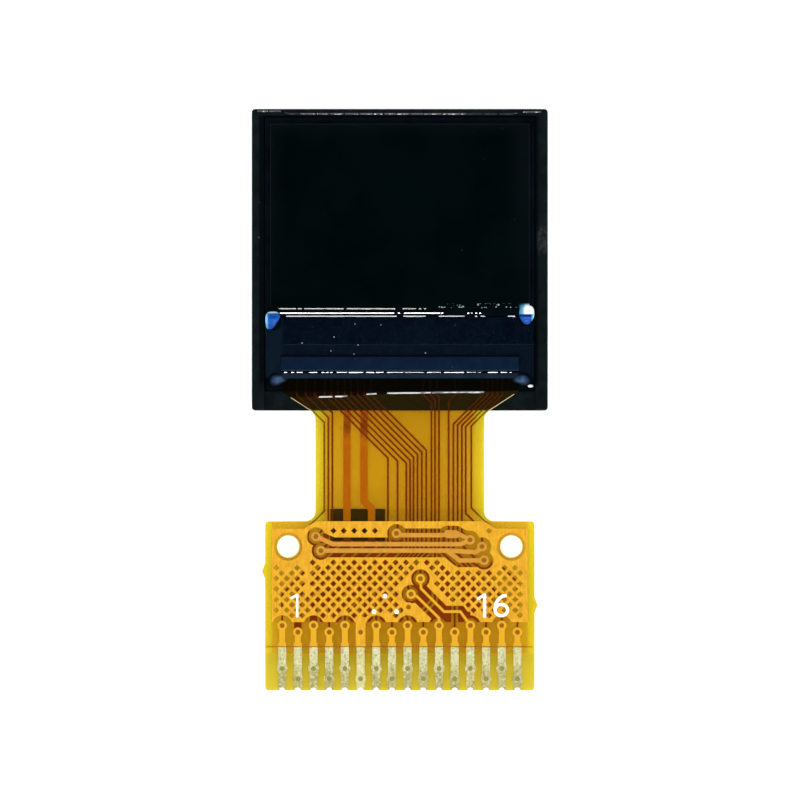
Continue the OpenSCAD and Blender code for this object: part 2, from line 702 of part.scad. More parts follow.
module driver_chip() {
    color([0.12, 0.16, 0.3])
        bevelled_plate(-chip_w / 2, chip_y - chip_d / 2, chip_w / 2, chip_y + chip_d / 2,
            z_cell + bond_film_t, chip_t, chip_bevel);
}

module chip_bond_field(grow = 0) {
    field(-chip_w / 2 - grow, chip_y - chip_d / 2 - chip_bond_margin - grow, chip_w / 2 + grow,
        chip_y + chip_d / 2 + chip_bond_margin + grow);
}

module chip_bond_film() { color([0.3, 0.3, 0.25]) layer(z_cell, bond_film_t) chip_bond_field(); }

// Blue resin on the ledge, open round the chip and the glue drops
module ledge_coating() {
    color([0.05, 0.08, 0.3]) layer(z_cell, coating_t) difference() {
        field(-glass_x, head_y + coating_gap, glass_x, filter_end - coating_gap);
        chip_bond_field(coating_gap);
        for (side = [[-1, left_drop_down], [1, right_drop_down]])
            translate([side[0] * (glass_x - drop_w / 2), filter_end - side[1] + drop_w / 2]) {
                circle(drop_w / 2 + coating_gap);
                translate([-drop_w / 2 - coating_gap, 0]) square([drop_w + 2 * coating_gap, side[1]]);
            }
        for (side = [-1, 1]) translate([side * end_glue_x, end_glue_y]) circle(end_glue_r + coating_gap);
    }
}

module flex_bond_film() {
    color([0.3, 0.3, 0.25]) plate(-head_w / 2, glass_end, head_w / 2, head_y, z_cell, bond_film_t);
}

// Glue drop on the glass at an end of the flex bond, lapping over the film
module end_glue(side) {
    high = z_base + base_t + end_glue_proud;
    dome_h = high - z_cell;
    dome_r = (end_glue_r * end_glue_r + dome_h * dome_h) / (2 * dome_h);
    color([0.45, 0.62, 0.85]) difference() {
        intersection() {
            translate([side * end_glue_x, end_glue_y, high - dome_r]) sphere(dome_r);
            plate(-glass_x, glass_end, glass_x, filter_end, z_cell, high);
        }
        plate(-head_w / 2, glass_end - cut, head_w / 2, head_y, z_cell - cut,
            cut + z_base + base_t - z_cell);
    }
}

module left_end_glue() { end_glue(-1); }
module right_end_glue() { end_glue(1); }

// Outline of the flex: bonded head, sloping shoulders, neck and tail
module flex_outline() {
    polygon([[-head_w / 2, head_y], [-head_w / 2, shoulder_y], [-neck_w / 2, neck_y],
        [neck_w / 2, neck_y], [head_w / 2, shoulder_y], [head_w / 2, head_y]]);
    field(-neck_w / 2, tail_y - tail_corner, neck_w / 2, shoulder_y);
    translate([0, (tail_y + tail_end) / 2]) soft_rect(tail_w, tail_len, tail_corner);
    for (side = [-1, 1]) {
        corner_fill([side * neck_w / 2, neck_y], [side * (head_w - neck_w) / 2, shoulder_drop], [0, -1],
            shoulder_fillet);
        corner_fill([side * neck_w / 2, tail_y], [side, 0], [0, 1], tail_fillet);
    }
    nub(-1, nub_left_down);
    nub(1, nub_right_down);
}

// Torn stub where the flex was held in its sheet
module nub(side, down) {
    translate([side * tail_w / 2, tail_y - down])
        polygon([[-side * nub_out, side * nub_len / 2], [-side * nub_out, -side * nub_len / 2],
            [0, -side * nub_len / 2], [side * nub_out, 0], [0, side * nub_len / 2]]);
}

module locate_holes(grow = 0) {
    discs([for (side = [-1, 1]) [side * locate_span / 2, tail_y - locate_down]], locate_d / 2 + grow);
}

module pad_bites() {
    discs([for (i = [0:pad_count - 1]) [pad_x(i), tail_end]], bite_r);
}

module flex_base_film() {
    color([0.85, 0.6, 0.12]) layer(z_base, base_t) difference() {
        flex_outline();
        locate_holes();
        pad_bites();
        discs(all_vias, via_r + via_wall + via_gap);
    }
}

// Plated barrels that join the two copper layers through the base film
module via_barrels() {
    color([0.8, 0.5, 0.2]) layer(z_rear_copper + copper_t, z_front_copper - z_rear_copper - copper_t)
        for (q = all_vias) translate(q) difference() {
            circle(via_r + via_wall, $fn = 24);
            circle(via_r, $fn = 24);
        }
}

// Solder pad with its stem and the rings of its two vias
module pad_shape(i, stem) {
    field(pad_x(i) - pad_w / 2, tail_end, pad_x(i) + pad_w / 2, cover_end + pad_w / 2);
    field(pad_x(i) - stem / 2, cover_end, pad_x(i) + stem / 2, stem_via_y(i));
    discs([pad_via(i)], ring_r);
    discs([[pad_x(i), pad_via_y(i)]], pad_ring_r);
}

module copper_holes() {
    pad_bites();
    discs(all_vias, via_r);
}

// Signal pads on the front, two of them with their fine tracks
module solder_pads() {
    color([0.85, 0.82, 0.7]) layer(z_front_copper, copper_t) difference() {
        union() {
            for (i = [0:pad_count - 1]) if (i != ground_pad) pad_shape(i, stem_w);
            for (path = [fine_left, fine_right]) track(path, fine_w);
            discs([via_g, via_h], ring_r);
        }
        copper_holes();
    }
}

// Jumper tracks on the front of the tail, with their vias
module flex_jumpers() {
    color([0.9, 0.65, 0.2]) layer(z_front_copper, copper_t) difference() {
        union() {
            for (path = [jumper_top, jumper_mid, jumper_low, jumper_branch]) track(path, jumper_w);
            track(bulge, bulge_w);
            discs(bulge, bulge_w / 2);
            discs(jumper_vias, ring_r);
        }
        copper_holes();
    }
}

// Field of the ground copper before anything is etched out of it
module ground_field() {
    polygon([[-ground_x, ground_end], [ground_x, ground_end], [ground_x, tail_y - ground_shoulder],
        [neck_w / 2 + ground_flare, tail_y - ground_shoulder], [neck_w / 2, tail_y], [-neck_w / 2, tail_y],
        [-neck_w / 2 - ground_flare, tail_y - ground_shoulder], [-ground_x, tail_y - ground_shoulder]]);
}

// Centres of the hatch openings that keep clear of everything else
hatch_rim = 0.05;
hatch_from_ring = 0.32;
hatch_away = moat + hatch_half + hatch_rim;
// Strip of unhatched copper: its left and right edges and its lower end
solid_rib = [-430 * grid_pitch, -402 * grid_pitch, tail_y - 340 * grid_pitch];
function hatch_clear(q) =
    to_path(q, jumper_top) > hatch_away + jumper_w / 2
    && to_path(q, bulge) > hatch_away + bulge_w / 2
    && to_path(q, jumper_mid) > hatch_away + jumper_w / 2
    && to_path(q, jumper_low) > hatch_away + jumper_w / 2
    && to_path(q, jumper_branch) > hatch_away + jumper_w / 2
    && to_path(q, fine_left) > hatch_away + fine_w / 2
    && to_path(q, fine_right) > hatch_away + fine_w / 2
    && min([for (v = concat(jumper_vias, [via_g, via_h])) norm(q - v)]) > hatch_away + ring_r
    && norm(q - ground_via) > ring_r + hatch_half
    && min([for (i = [0:pad_count - 1]) norm(q - pad_via(i))]) > hatch_away + ring_r
    && min([for (side = [-1, 1]) norm(q - [side * locate_span / 2, tail_y - locate_down])])
        > locate_d / 2 + locate_ring + hatch_from_ring
    && !(q[0] > solid_rib[0] && q[0] < solid_rib[1] && q[1] > solid_rib[2])
    && abs(q[0]) < ground_x - hatch_half - hatch_rim
    && q[1] < tail_y - hatch_half - hatch_rim
    && q[1] > ground_end + hatch_half + hatch_rim
    && (abs(q[0]) < neck_w / 2 + ground_flare || q[1] < tail_y - ground_shoulder - hatch_half - hatch_rim);
hatch_from = on_tail(-250, 184);
hatch_centres = [for (row = [-8:12], column = [-8:18])
    let (q = hatch_from + [(column + (abs(row) % 2) / 2) * hatch_pitch_x, -row * hatch_pitch_y])
    if (hatch_clear(q)) q];

// Hatched ground copper on the front of the tail, with its own pad
module flex_ground_mesh() {
    color([0.9, 0.65, 0.2]) layer(z_front_copper, copper_t) difference() {
        union() {
            difference() {
                ground_field();
                for (path = [jumper_top, jumper_mid, jumper_low, jumper_branch]) track_room(path, jumper_w);
                track_room(bulge, bulge_w);
                for (path = [fine_left, fine_right]) track_room(path, fine_w);
                discs(concat(jumper_vias, [via_g, via_h]), ring_r + moat);
                discs([for (i = [0:pad_count - 1]) if (i != ground_pad) pad_via(i)], ring_r + pad_moat);
                field(pad_x(10), ground_end - cut, pad_x(12), fine_right[2][1]);
                locate_holes(locate_ring);
                for (q = hatch_centres) translate(q) circle(hatch_half, $fn = 4);
            }
            pad_shape(ground_pad, ground_link_w);
            field(pad_x(ground_pad) - ground_link_w / 2, cover_end, pad_x(ground_pad) + ground_link_w / 2,
                ground_end + ring_r);
            discs([ground_via], ring_r);
        }
        copper_holes();
    }
}

// Rear track n, from its place on the glass across the neck to its ending
function rear_path(n) = concat(
    [[bonds[n], head_y], [bonds[n], fan_y], [lanes[n], fan_y - abs(lanes[n] - bonds[n])]], endings[n]);

// Rear copper: tracks, via rings and the rear halves of the solder pads
module flex_rear_copper() {
    color([0.6, 0.3, 0.08]) layer(z_rear_copper, copper_t) difference() {
        union() {
            for (n = [0:len(lanes) - 1]) track(rear_path(n), track_w);
            discs(concat(jumper_vias, [via_g, via_h]), ring_r);
            for (i = rear_pads) pad_shape(i, stem_w);
        }
        copper_holes();
    }
}

// Balancing copper between the rear tracks, which keeps the tail flat. It is left out over the black tape
// and beside the right jumper vias, and meets the ground copper at one via.
fill_split = via_d[0] - ring_r - moat - 2 * fill_gap;
fill_low = 1.75;
module flex_rear_fill() {
    color([0.6, 0.3, 0.08]) layer(z_rear_copper, copper_t) difference() {
        union() {
            difference() {
                union() {
                    field(fill_gap - outer_x, ground_end, fill_split, tail_y - fill_down);
                    field(fill_gap - outer_x, ground_end, outer_x - fill_gap, tail_y - fill_low);
                }
                for (n = [0:len(lanes) - 1]) track_room(rear_path(n), track_w, fill_gap);
                for (i = [0, 1]) track_room(supply_path(i), supply_w, fill_gap);
                field(patch_x - patch_w / 2, tail_y + stiffener_rise - patch_len,
                    patch_x + patch_w / 2, tail_y);
                discs(concat(jumper_vias, [via_g, via_h]), ring_r + fill_gap);
                discs([for (i = rear_pads) pad_via(i)], ring_r + fill_gap);
            }
            discs([ground_via], ring_r);
        }
        discs([ground_via], via_r);
    }
}

// Wide rear tracks that feed the lamp, each with its pad
module led_supply_tracks() {
    color([0.75, 0.38, 0.1]) layer(z_rear_copper, copper_t) difference() {
        for (i = [0, 1]) {
            track(supply_path(i), supply_w);
            pad_shape(supply_pads[i], stem_w);
        }
        copper_holes();
    }
}

// Film over the front copper, from a slightly skewed edge at the glass to the bare pads
module flex_front_coverlay() {
    color([0.9, 0.7, 0.15]) layer(z_front_cover, cover_t) difference() {
        intersection() {
            flex_outline();
            polygon([[-tail_w, cover_end], [tail_w, cover_end],
                [tail_w, cover_edge + cover_skew_len * tail_w / neck_w],
                [-tail_w, cover_edge - cover_skew_len * tail_w / neck_w]]);
        }
        locate_holes();
    }
}

// Film over the rear copper, open at the lamp's solder joints
module flex_rear_coverlay() {
    color([0.85, 0.6, 0.12]) layer(z_rear_cover, cover_t) difference() {
        intersection() {
            flex_outline();
            field(-tail_w, cover_end, tail_w, glass_end - drop_in_gap);
        }
        locate_holes();
        for (x = supply_x)
            field(x - supply_w / 2 - glue_line, joint_y - led_joint_len / 2 - glue_line,
                x + supply_w / 2 + glue_line, joint_y + led_joint_len / 2 + glue_line);
    }
}

// Thicker film behind the tail
module tail_stiffener() {
    color([0.8, 0.55, 0.12]) layer(z_stiffener, stiffener_t) difference() {
        intersection() {
            flex_outline();
            field(-tail_w, cover_end - stiffener_past, tail_w, tail_y + stiffener_rise);
        }
        locate_holes();
    }
}

// Black tape behind the upper end of the stiffener
module rear_insulating_tape() {
    color([0.02, 0.02, 0.02]) plate(patch_x - patch_w / 2, tail_y + stiffener_rise - patch_len,
        patch_x + patch_w / 2, tail_y + stiffener_rise, z_patch, patch_t);
}

backlight_frame();
rear_reflector();
light_guide();
diffuser_film();
lower_prism_film();
upper_prism_film();
rim_tape();
backlight_led();
led_phosphor();
led_flex();
led_flex_copper();
led_solder_joints();
rear_polarizer();
array_glass();
cell_seal();
liquid_crystal();
colour_filter_glass();
front_polarizer();
left_edge_glue();
right_edge_glue();
driver_chip();
chip_bond_film();
ledge_coating();
flex_bond_film();
left_end_glue();
right_end_glue();
flex_base_film();
flex_rear_copper();
flex_rear_fill();
led_supply_tracks();
flex_rear_coverlay();
flex_ground_mesh();
flex_jumpers();
solder_pads();
via_barrels();
flex_front_coverlay();
tail_stiffener();
rear_insulating_tape();
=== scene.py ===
# %% [markdown]
# # A half-inch colour display module
# The solids come from CAD: glass, frame, chip, films and etched copper, all at their real size.
# This notebook gives each of them its finish, and adds the small things that a drawing leaves
# out: glue drops, beads of resin, printed numerals and dust. We load the solids first; their boxes
# give the places of the pieces added later.

# %% Load the solids
import math
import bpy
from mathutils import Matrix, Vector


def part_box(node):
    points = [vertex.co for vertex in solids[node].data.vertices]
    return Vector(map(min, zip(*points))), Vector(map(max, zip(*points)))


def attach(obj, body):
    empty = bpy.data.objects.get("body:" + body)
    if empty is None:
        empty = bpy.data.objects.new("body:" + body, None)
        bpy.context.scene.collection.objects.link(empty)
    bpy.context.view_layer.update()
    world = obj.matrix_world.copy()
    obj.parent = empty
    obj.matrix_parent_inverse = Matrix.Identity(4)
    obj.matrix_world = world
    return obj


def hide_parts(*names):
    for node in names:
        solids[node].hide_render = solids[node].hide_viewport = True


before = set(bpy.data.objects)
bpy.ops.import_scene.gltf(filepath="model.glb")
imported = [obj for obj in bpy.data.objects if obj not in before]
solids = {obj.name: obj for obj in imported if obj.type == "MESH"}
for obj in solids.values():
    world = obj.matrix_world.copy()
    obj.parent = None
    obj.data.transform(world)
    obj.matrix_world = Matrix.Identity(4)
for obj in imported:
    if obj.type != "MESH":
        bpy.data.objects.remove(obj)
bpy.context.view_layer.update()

from types import SimpleNamespace

import bmesh
import bpy
import numpy as np

MM = 0.001

# %% [markdown]
# The photograph looks straight down on the module. The sixteen pads at 0.7 mm give its scale, and
# the middle of the frame gives its origin, so any pixel can be turned into a place on the module.
# A long lens far away keeps the sides of the frame upright, as they are in the photograph.

# %% Camera
PIXELS_PER_MM = 22.41
ORIGIN_X, ORIGIN_Y = 399.8, 259.85
IMAGE_SIDE = 800
LENS, SENSOR = 200.0, 36.0
FOCUS_HEIGHT = 1.2


def stacked(*columns):
    """Columns side by side along a new last axis, each an array or a single number."""
    return np.stack(np.broadcast_arrays(*columns), -1)


def at_pixel(x, y):
    """Place in mm under a pixel: the offset from the origin's pixel over the scale, with Y turned up."""
    return stacked(np.subtract(x, ORIGIN_X), np.subtract(ORIGIN_Y, y)) / PIXELS_PER_MM


def column_x(column):
    """X in mm of a column of pixels."""
    return at_pixel(column, 0)[0]


def row_y(row):
    """Y in mm of a row of pixels."""
    return at_pixel(0, row)[1]


scene = bpy.context.scene
camera = bpy.data.objects.new("camera", bpy.data.cameras.new("camera"))
scene.collection.objects.link(camera)
scene.camera = camera
camera.data.lens, camera.data.sensor_width = LENS, SENSOR
camera.data.clip_start, camera.data.clip_end = 0.01, 10.0
middle = at_pixel(IMAGE_SIDE / 2, IMAGE_SIDE / 2)
distance = IMAGE_SIDE / PIXELS_PER_MM * LENS / SENSOR
camera.location = (middle[0] * MM, middle[1] * MM, (FOCUS_HEIGHT + distance) * MM)
print("camera height in mm:", round(camera.location.z / MM, 1))

# %% [markdown]
# The film of the tail is see-through, so a ray crosses a dozen film faces before it reaches the
# floor. Cycles stops after eight by default and would draw black there, so we allow more. The
# standard view keeps the white floor white and the colours as they were measured.

# %% Light paths and colour
scene.cycles.transparent_max_bounces = 64
scene.cycles.max_bounces = 16
scene.view_settings.view_transform = "Standard"
scene.view_settings.look = "None"
print("view:", scene.view_settings.view_transform)

# %% [markdown]
# ## Node groups
# Every finish below is built from a few shared effects. Each is a node group with named sockets:
# the place on the module in millimetres, a fine grain, dust, streaks and a soft-edged band. First
# come small helpers that feed sockets, place a node, start a group and put a group into a material.

# %% Helpers for node trees
def feed(tree, node, sockets):
    """Give each named socket of a node its value, or a link where it is given another socket."""
    for key, value in sockets.items():
        if isinstance(value, bpy.types.NodeSocket):
            tree.links.new(value, node.inputs[key])
        else:
            node.inputs[key].default_value = value
    return node


def put(tree, kind, sockets=(), **settings):
    """Add one shader node with its settings and sockets."""
    node = tree.nodes.new("ShaderNode" + kind)
    for key, value in settings.items():
        setattr(node, key, value)
    return feed(tree, node, dict(sockets))


def start_group(name, inputs, outputs):
    """Start a node group with named sockets; inputs and outputs give each name its kind."""
    group = bpy.data.node_groups.new(name, "ShaderNodeTree")
    for way, sockets in (("INPUT", inputs), ("OUTPUT", outputs)):
        for label, kind in sockets.items():
            group.interface.new_socket(label, in_out=way, socket_type="NodeSocket" + kind)
    return group, group.nodes.new("NodeGroupInput").outputs, group.nodes.new("NodeGroupOutput").inputs


def use(tree, group, **sockets):
    """Put a group into a material with its own values, and return its outputs."""
    node = tree.nodes.new("ShaderNodeGroup")
    node.node_tree = group
    return feed(tree, node, sockets).outputs


def calculate(tree, operation, *values):
    """The result of one Math node."""
    return put(tree, "Math", dict(enumerate(values)), operation=operation).outputs[0]


def ramp(tree, value, *ends, kind="LINEAR"):
    """A value mapped from the first two ends to the next two, or to zero and one."""
    return put(tree, "MapRange", dict(enumerate((value, *ends))), interpolation_type=kind).outputs[0]


def rgba(colour):
    """A colour with full alpha."""
    return (*colour, 1.0)


print("helpers ready")

# %% [markdown]
# Object coordinates are in metres and a feature here is a few hundredths of a millimetre, so the
# first group turns them into millimetres. Noise scales can then be read as features per mm.

# %% Group: place in millimetres
place_group, _, outs = start_group(
    "place_in_mm", {}, dict(Place="Vector", X="Float", Y="Float", Z="Float"))
source = put(place_group, "TexCoord")
in_mm = put(place_group, "VectorMath", {0: source.outputs["Object"], "Scale": 1 / MM}, operation="SCALE")
parts = put(place_group, "SeparateXYZ", {0: in_mm.outputs[0]})
place_group.links.new(in_mm.outputs[0], outs["Place"])
for axis in "XYZ":
    place_group.links.new(parts.outputs[axis], outs[axis])
print("group:", place_group.name)

# %% [markdown]
# A grain is two layers of noise: a slow one drifts the colour between two tones, and a fine one
# sets the roughness and the height of the bump. Moulded plastic, film and cured resin all have it,
# only at different scales.

# %% Group: fine grain
grain_group, ins, outs = start_group(
    "fine_grain",
    dict(Place="Vector", PerMM="Float", Low="Color", High="Color", Smoothest="Float", Roughest="Float"),
    dict(Color="Color", Roughness="Float", Height="Float"))
FINE_TO_SLOW = 9.0
NOISE_LOW, NOISE_HIGH = 0.3, 0.7
quicker = calculate(grain_group, "MULTIPLY", ins["PerMM"], FINE_TO_SLOW)
slow = put(grain_group, "TexNoise", {"Vector": ins["Place"], "Scale": ins["PerMM"], "Detail": 4.0})
fine = put(grain_group, "TexNoise", {"Vector": ins["Place"], "Scale": quicker, "Detail": 3.0})
spread = ramp(grain_group, slow.outputs[0], NOISE_LOW, NOISE_HIGH)
tone = put(grain_group, "Mix", {0: spread, 6: ins["Low"], 7: ins["High"]}, data_type="RGBA")
rough = ramp(grain_group, fine.outputs[0], NOISE_LOW, NOISE_HIGH, ins["Smoothest"], ins["Roughest"])
grain_group.links.new(tone.outputs[2], outs["Color"])
grain_group.links.new(rough, outs["Roughness"])
grain_group.links.new(fine.outputs[0], outs["Height"])
print("group:", grain_group.name)

# %% [markdown]
# Dust settles as separate specks, and the same specks also place painted glints. A cell pattern
# gives one point to each cell, the distance to it makes a round dot, and the cell's own random colour
# decides whether that cell holds a speck.

# %% Group: dust and glint specks
speck_group, ins, outs = start_group(
    "dust_and_glint_specks", dict(Place="Vector", PerMM="Float", Size="Float", Share="Float"), dict(Mask="Float"))
cells = put(speck_group, "TexVoronoi", {"Vector": ins["Place"], "Scale": ins["PerMM"]})
lot = put(speck_group, "SeparateColor", {0: cells.outputs["Color"]})
held = calculate(speck_group, "LESS_THAN", lot.outputs[0], ins["Share"])
radius = calculate(speck_group, "MULTIPLY", lot.outputs[1], ins["Size"])
dot = calculate(speck_group, "LESS_THAN", cells.outputs["Distance"], radius)
speck_group.links.new(calculate(speck_group, "MULTIPLY", held, dot), outs["Mask"])
print("group:", speck_group.name)

# %% [markdown]
# Rolled copper, brushed pads and rubbed plastic carry streaks in one direction. Noise becomes
# streaks when the place is stretched: many features across, few along.

# %% Group: streaks
streak_group, ins, outs = start_group(
    "drawn_streaks", dict(Place="Vector", Across="Float", Along="Float"), dict(Mask="Float"))
STREAK_LOW, STREAK_HIGH = 0.35, 0.65
ratio = put(streak_group, "CombineXYZ", {0: ins["Across"], 1: ins["Along"], 2: ins["Along"]})
drawn = put(streak_group, "VectorMath", {0: ins["Place"], 1: ratio.outputs[0]}, operation="MULTIPLY")
noise = put(streak_group, "TexNoise", {"Vector": drawn.outputs[0], "Scale": 1.0, "Detail": 3.0})
streak_group.links.new(ramp(streak_group, noise.outputs[0], STREAK_LOW, STREAK_HIGH), outs["Mask"])
print("group:", streak_group.name)

# %% [markdown]
# Some finishes change at a line: plating starts where the cover film ends. A band is one between
# two values and zero outside them, with a soft edge.

# %% Group: soft band
band_group, ins, outs = start_group(
    "soft_band", dict(Value="Float", From="Float", To="Float", Soft="Float"), dict(Mask="Float"))


def soft_step(tree, value, edge, soft):
    """Rises smoothly from zero to one while the value goes from edge - soft to edge + soft."""
    low, high = (calculate(tree, operation, edge, soft) for operation in ("SUBTRACT", "ADD"))
    return ramp(tree, value, low, high, kind="SMOOTHSTEP")


steps = [soft_step(band_group, ins["Value"], ins[edge], ins["Soft"]) for edge in ("From", "To")]
band_group.links.new(calculate(band_group, "SUBTRACT", *steps), outs["Mask"])
print("group:", band_group.name)

# %% [markdown]
# ## Floor and light
# Black gloss only looks black when it mirrors something dark. Seen from straight above, glass
# mirrors the sky overhead, so the sky here is bright at middle height and dark at the top, like a
# soft tent with a hole for the lens, and dim at the horizon. The floor is plain, pale paper.

# %% Floor and sky
HORIZON_RADIANCE, SKY_RADIANCE = 0.12, 1.2
RISE_FROM, RISE_TO = 0.05, 0.45
DARK_FROM, DARK_TO = 0.972, 0.992
FLOOR_SIDE, FLOOR_DROP = 1.6, 0.00002

world = bpy.data.worlds.new("tent")
world.use_nodes = True
scene.world = world
tree = world.node_tree
background = tree.nodes["Background"]
up = put(tree, "SeparateXYZ", {0: put(tree, "TexCoord").outputs["Generated"]})
hole = ramp(tree, up.outputs["Z"], DARK_FROM, DARK_TO, 1.0, 0.0, kind="SMOOTHSTEP")
rise = ramp(tree, up.outputs["Z"], RISE_FROM, RISE_TO, HORIZON_RADIANCE, SKY_RADIANCE, kind="SMOOTHSTEP")
bright = calculate(tree, "MULTIPLY", hole, rise)
tree.links.new(bright, background.inputs["Strength"])
background.inputs["Color"].default_value = rgba((0.98, 0.99, 1.0))

half = FLOOR_SIDE / 2
corners = [(x, y, -FLOOR_DROP) for x, y in ((-half, -half), (half, -half), (half, half), (-half, half))]
floor_mesh = bpy.data.meshes.new("floor")
floor_mesh.from_pydata(corners, [], [(0, 1, 2, 3)])
floor = bpy.data.objects.new("floor", floor_mesh)
scene.collection.objects.link(floor)
print("sky radiance:", SKY_RADIANCE, "floor side in m:", FLOOR_SIDE)

# %% [markdown]
# Two strip lamps draw the white lines along the edges. A slope mirrors a lamp straight up into the
# lens when it leans half as far from level as the lamp stands from the vertical: a low strip lights
# chamfers and beads of about 45 degrees, and a strip at half height lights beads half as steep.

# %% Strip lamps
AIM = np.array([0.0, -6.0, 1.0]) * MM
LAMP_DISTANCE = 0.5


def flat_lamp(name, elevation, wide, high, radiance):
    """A lamp facing the module, raised from the tail's side: power is radiance times pi times its area."""
    lamp = bpy.data.lights.new(name, "AREA")
    lamp.shape, lamp.size, lamp.size_y = "RECTANGLE", wide, high
    lamp.energy = radiance * math.pi * wide * high
    lamp_object = bpy.data.objects.new(name, lamp)
    angle = math.radians(elevation)
    lamp_object.location = AIM + LAMP_DISTANCE * np.array([0.0, -math.cos(angle), math.sin(angle)])
    lamp_object.rotation_euler = (math.pi / 2 - angle, 0.0, 0.0)
    lamp_object.visible_camera = False
    scene.collection.objects.link(lamp_object)
    print(name, "elevation", elevation, "power in W", round(lamp.energy, 2))
    return lamp_object


flat_lamp("low_strip", elevation=3.5, wide=0.5, high=0.05, radiance=50.0)
flat_lamp("half_height_strip", elevation=45.0, wide=0.4, high=0.04, radiance=11.0)

# %% [markdown]
# Light from straight above reaches the floor through the locating holes and keeps the shadows faint.
# A photographer would bounce it off a card behind the lens; here it is a lamp that mirrors leave out.

# %% Lamp overhead
overhead = flat_lamp("overhead", elevation=90.0, wide=0.12, high=0.12, radiance=38.0)
overhead.visible_glossy = False

# %% [markdown]
# ## Finishes
# A finish starts from a Principled shader that takes its colour, roughness and bump from the grain
# group. Constant values such as Metallic and the specular level stay on the shader's own sockets.

# %% A finish
def finish(name, low, high, per_mm, smoothest, roughest, bump_mm=0.0, specular=0.5, **sockets):
    """A material whose colour drifts from low to high, per_mm times in a mm, and whose roughness and
    bump follow a finer grain."""
    material = bpy.data.materials.new(name)
    material.use_nodes = True
    tree = material.node_tree
    tree.nodes.clear()
    shader = put(tree, "BsdfPrincipled", {key.replace("_", " "): value for key, value in sockets.items()})
    shader.inputs["Specular IOR Level"].default_value = specular
    output = put(tree, "OutputMaterial", {"Surface": shader.outputs[0]})
    place = use(tree, place_group)
    grain = use(tree, grain_group, Place=place["Place"], PerMM=per_mm, Low=rgba(low), High=rgba(high),
                Smoothest=smoothest, Roughest=roughest)
    tree.links.new(grain["Color"], shader.inputs["Base Color"])
    tree.links.new(grain["Roughness"], shader.inputs["Roughness"])
    if bump_mm:
        bump = put(tree, "Bump", {"Height": grain["Height"], "Distance": bump_mm * MM, "Strength": 1.0})
        tree.links.new(bump.outputs[0], shader.inputs["Normal"])
    return SimpleNamespace(material=material, tree=tree, shader=shader, output=output, place=place)


floor_paper = finish("floor_paper", (0.9, 0.9, 0.9), (0.93, 0.93, 0.93), 0.05, 0.7, 0.8)
floor.data.materials.append(floor_paper.material)
print("finish:", floor_paper.material.name)

# %% [markdown]
# Later steps paint over a finish through masks. Most masks are stretches along one axis of the
# module, such as the tail past the end of the cover film. Others are specks and streaks.

# %% Masks and paint
FAR, SOFT = 30.0, 0.02


def product(made, *masks):
    """Masks multiplied into one. A mask is a socket, a number, or a stretch of the module: its axis, its
    two ends and the softness of its edges in mm, with FAR for an end past the module."""
    result = 1.0
    for mask in masks:
        if isinstance(mask, tuple):
            axis, start, end, soft = mask
            mask = use(made.tree, band_group, Value=made.place[axis], From=start, To=end, Soft=soft)["Mask"]
        result = calculate(made.tree, "MULTIPLY", result, mask)
    return result


def paint(made, colour, *masks):
    """Mix a colour over what feeds the Base Color now, by the product of the masks."""
    under = made.shader.inputs["Base Color"].links[0].from_socket
    over = put(made.tree, "Mix", {0: product(made, *masks), 6: under, 7: rgba(colour)}, data_type="RGBA")
    made.tree.links.new(over.outputs[2], made.shader.inputs["Base Color"])


def dull(made, roughness, *masks):
    """Mix a roughness over what feeds it now, by the product of the masks."""
    under = made.shader.inputs["Roughness"].links[0].from_socket
    over = put(made.tree, "Mix", {0: product(made, *masks), 2: under, 3: roughness}, data_type="FLOAT")
    made.tree.links.new(over.outputs[0], made.shader.inputs["Roughness"])


def specks(made, per_mm, size, share):
    """Mask of round specks: cells per mm, largest radius in cells, and share of the cells that hold one."""
    place = made.place["Place"]
    return use(made.tree, speck_group, Place=place, PerMM=per_mm, Size=size, Share=share)["Mask"]


def streaked(made, across, along):
    """Mask of streaks along the tail, with so many features per mm across it and along it."""
    return use(made.tree, streak_group, Place=made.place["Place"], Across=across, Along=along)["Mask"]


def dust(made, per_mm, size, share, colour):
    """Pale specks over a finish."""
    paint(made, colour, specks(made, per_mm, size, share))


def dress(made, *names):
    """Give CAD solids a finish."""
    for name in names:
        solid = solids[name]
        if not solid.material_slots:
            solid.data.materials.append(made.material)
        for slot in solid.material_slots:
            slot.material = made.material
    print(made.material.name, "->", ", ".join(names))


def box_mm(name):
    """Lowest and highest corner of a CAD solid in mm."""
    return [np.array(corner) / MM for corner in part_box(name)]


print("masks and paint ready")

# %% [markdown]
# ### Backlight frame
# The frame is black moulded plastic with a satin grain. Handling has rubbed it grey in places,
# most of all on the right wall, so a streaked mask lightens that stretch and dulls it. The inner
# half of the walls is smoother and painted darker: painted shade beside the sheen on the rounded
# outer half.

# %% Satin black moulding
INNER_LEFT, INNER_RIGHT, INNER_TOP, INNER_END = column_x(259), column_x(538.5), row_y(115.6), row_y(385)
SCUFF_TOP, SCUFF_END, SCUFF_IN = row_y(228), row_y(252), column_x(538)
SCUFF_DEPTH = 0.15
wall_top = box_mm("backlight_frame")[1][2]
moulding = finish("satin_black_moulding", (0.0008, 0.0018, 0.0022), (0.0026, 0.005, 0.006),
                  2.5, 0.42, 0.58, 0.004, specular=0.035)
inner_wall_shade = product(moulding, ("X", INNER_LEFT, INNER_RIGHT, 0.06), ("Y", INNER_END, FAR, 0.25),
                    ("Y", -FAR, INNER_TOP, 0.03))
# Painted shade: the inner half of the walls is darker than the sheen on their rounded outer half.
paint(moulding, (0.0003, 0.0011, 0.0019), inner_wall_shade)
dull(moulding, 0.25, inner_wall_shade)
scuffed = product(moulding, streaked(moulding, 9.0, 5.0), ("Y", SCUFF_END, SCUFF_TOP, 0.25),
                  ("X", SCUFF_IN, FAR, 0.1), ("Z", wall_top - SCUFF_DEPTH, FAR, 0.2))
paint(moulding, (0.02, 0.021, 0.022), scuffed)
dull(moulding, 0.75, scuffed)
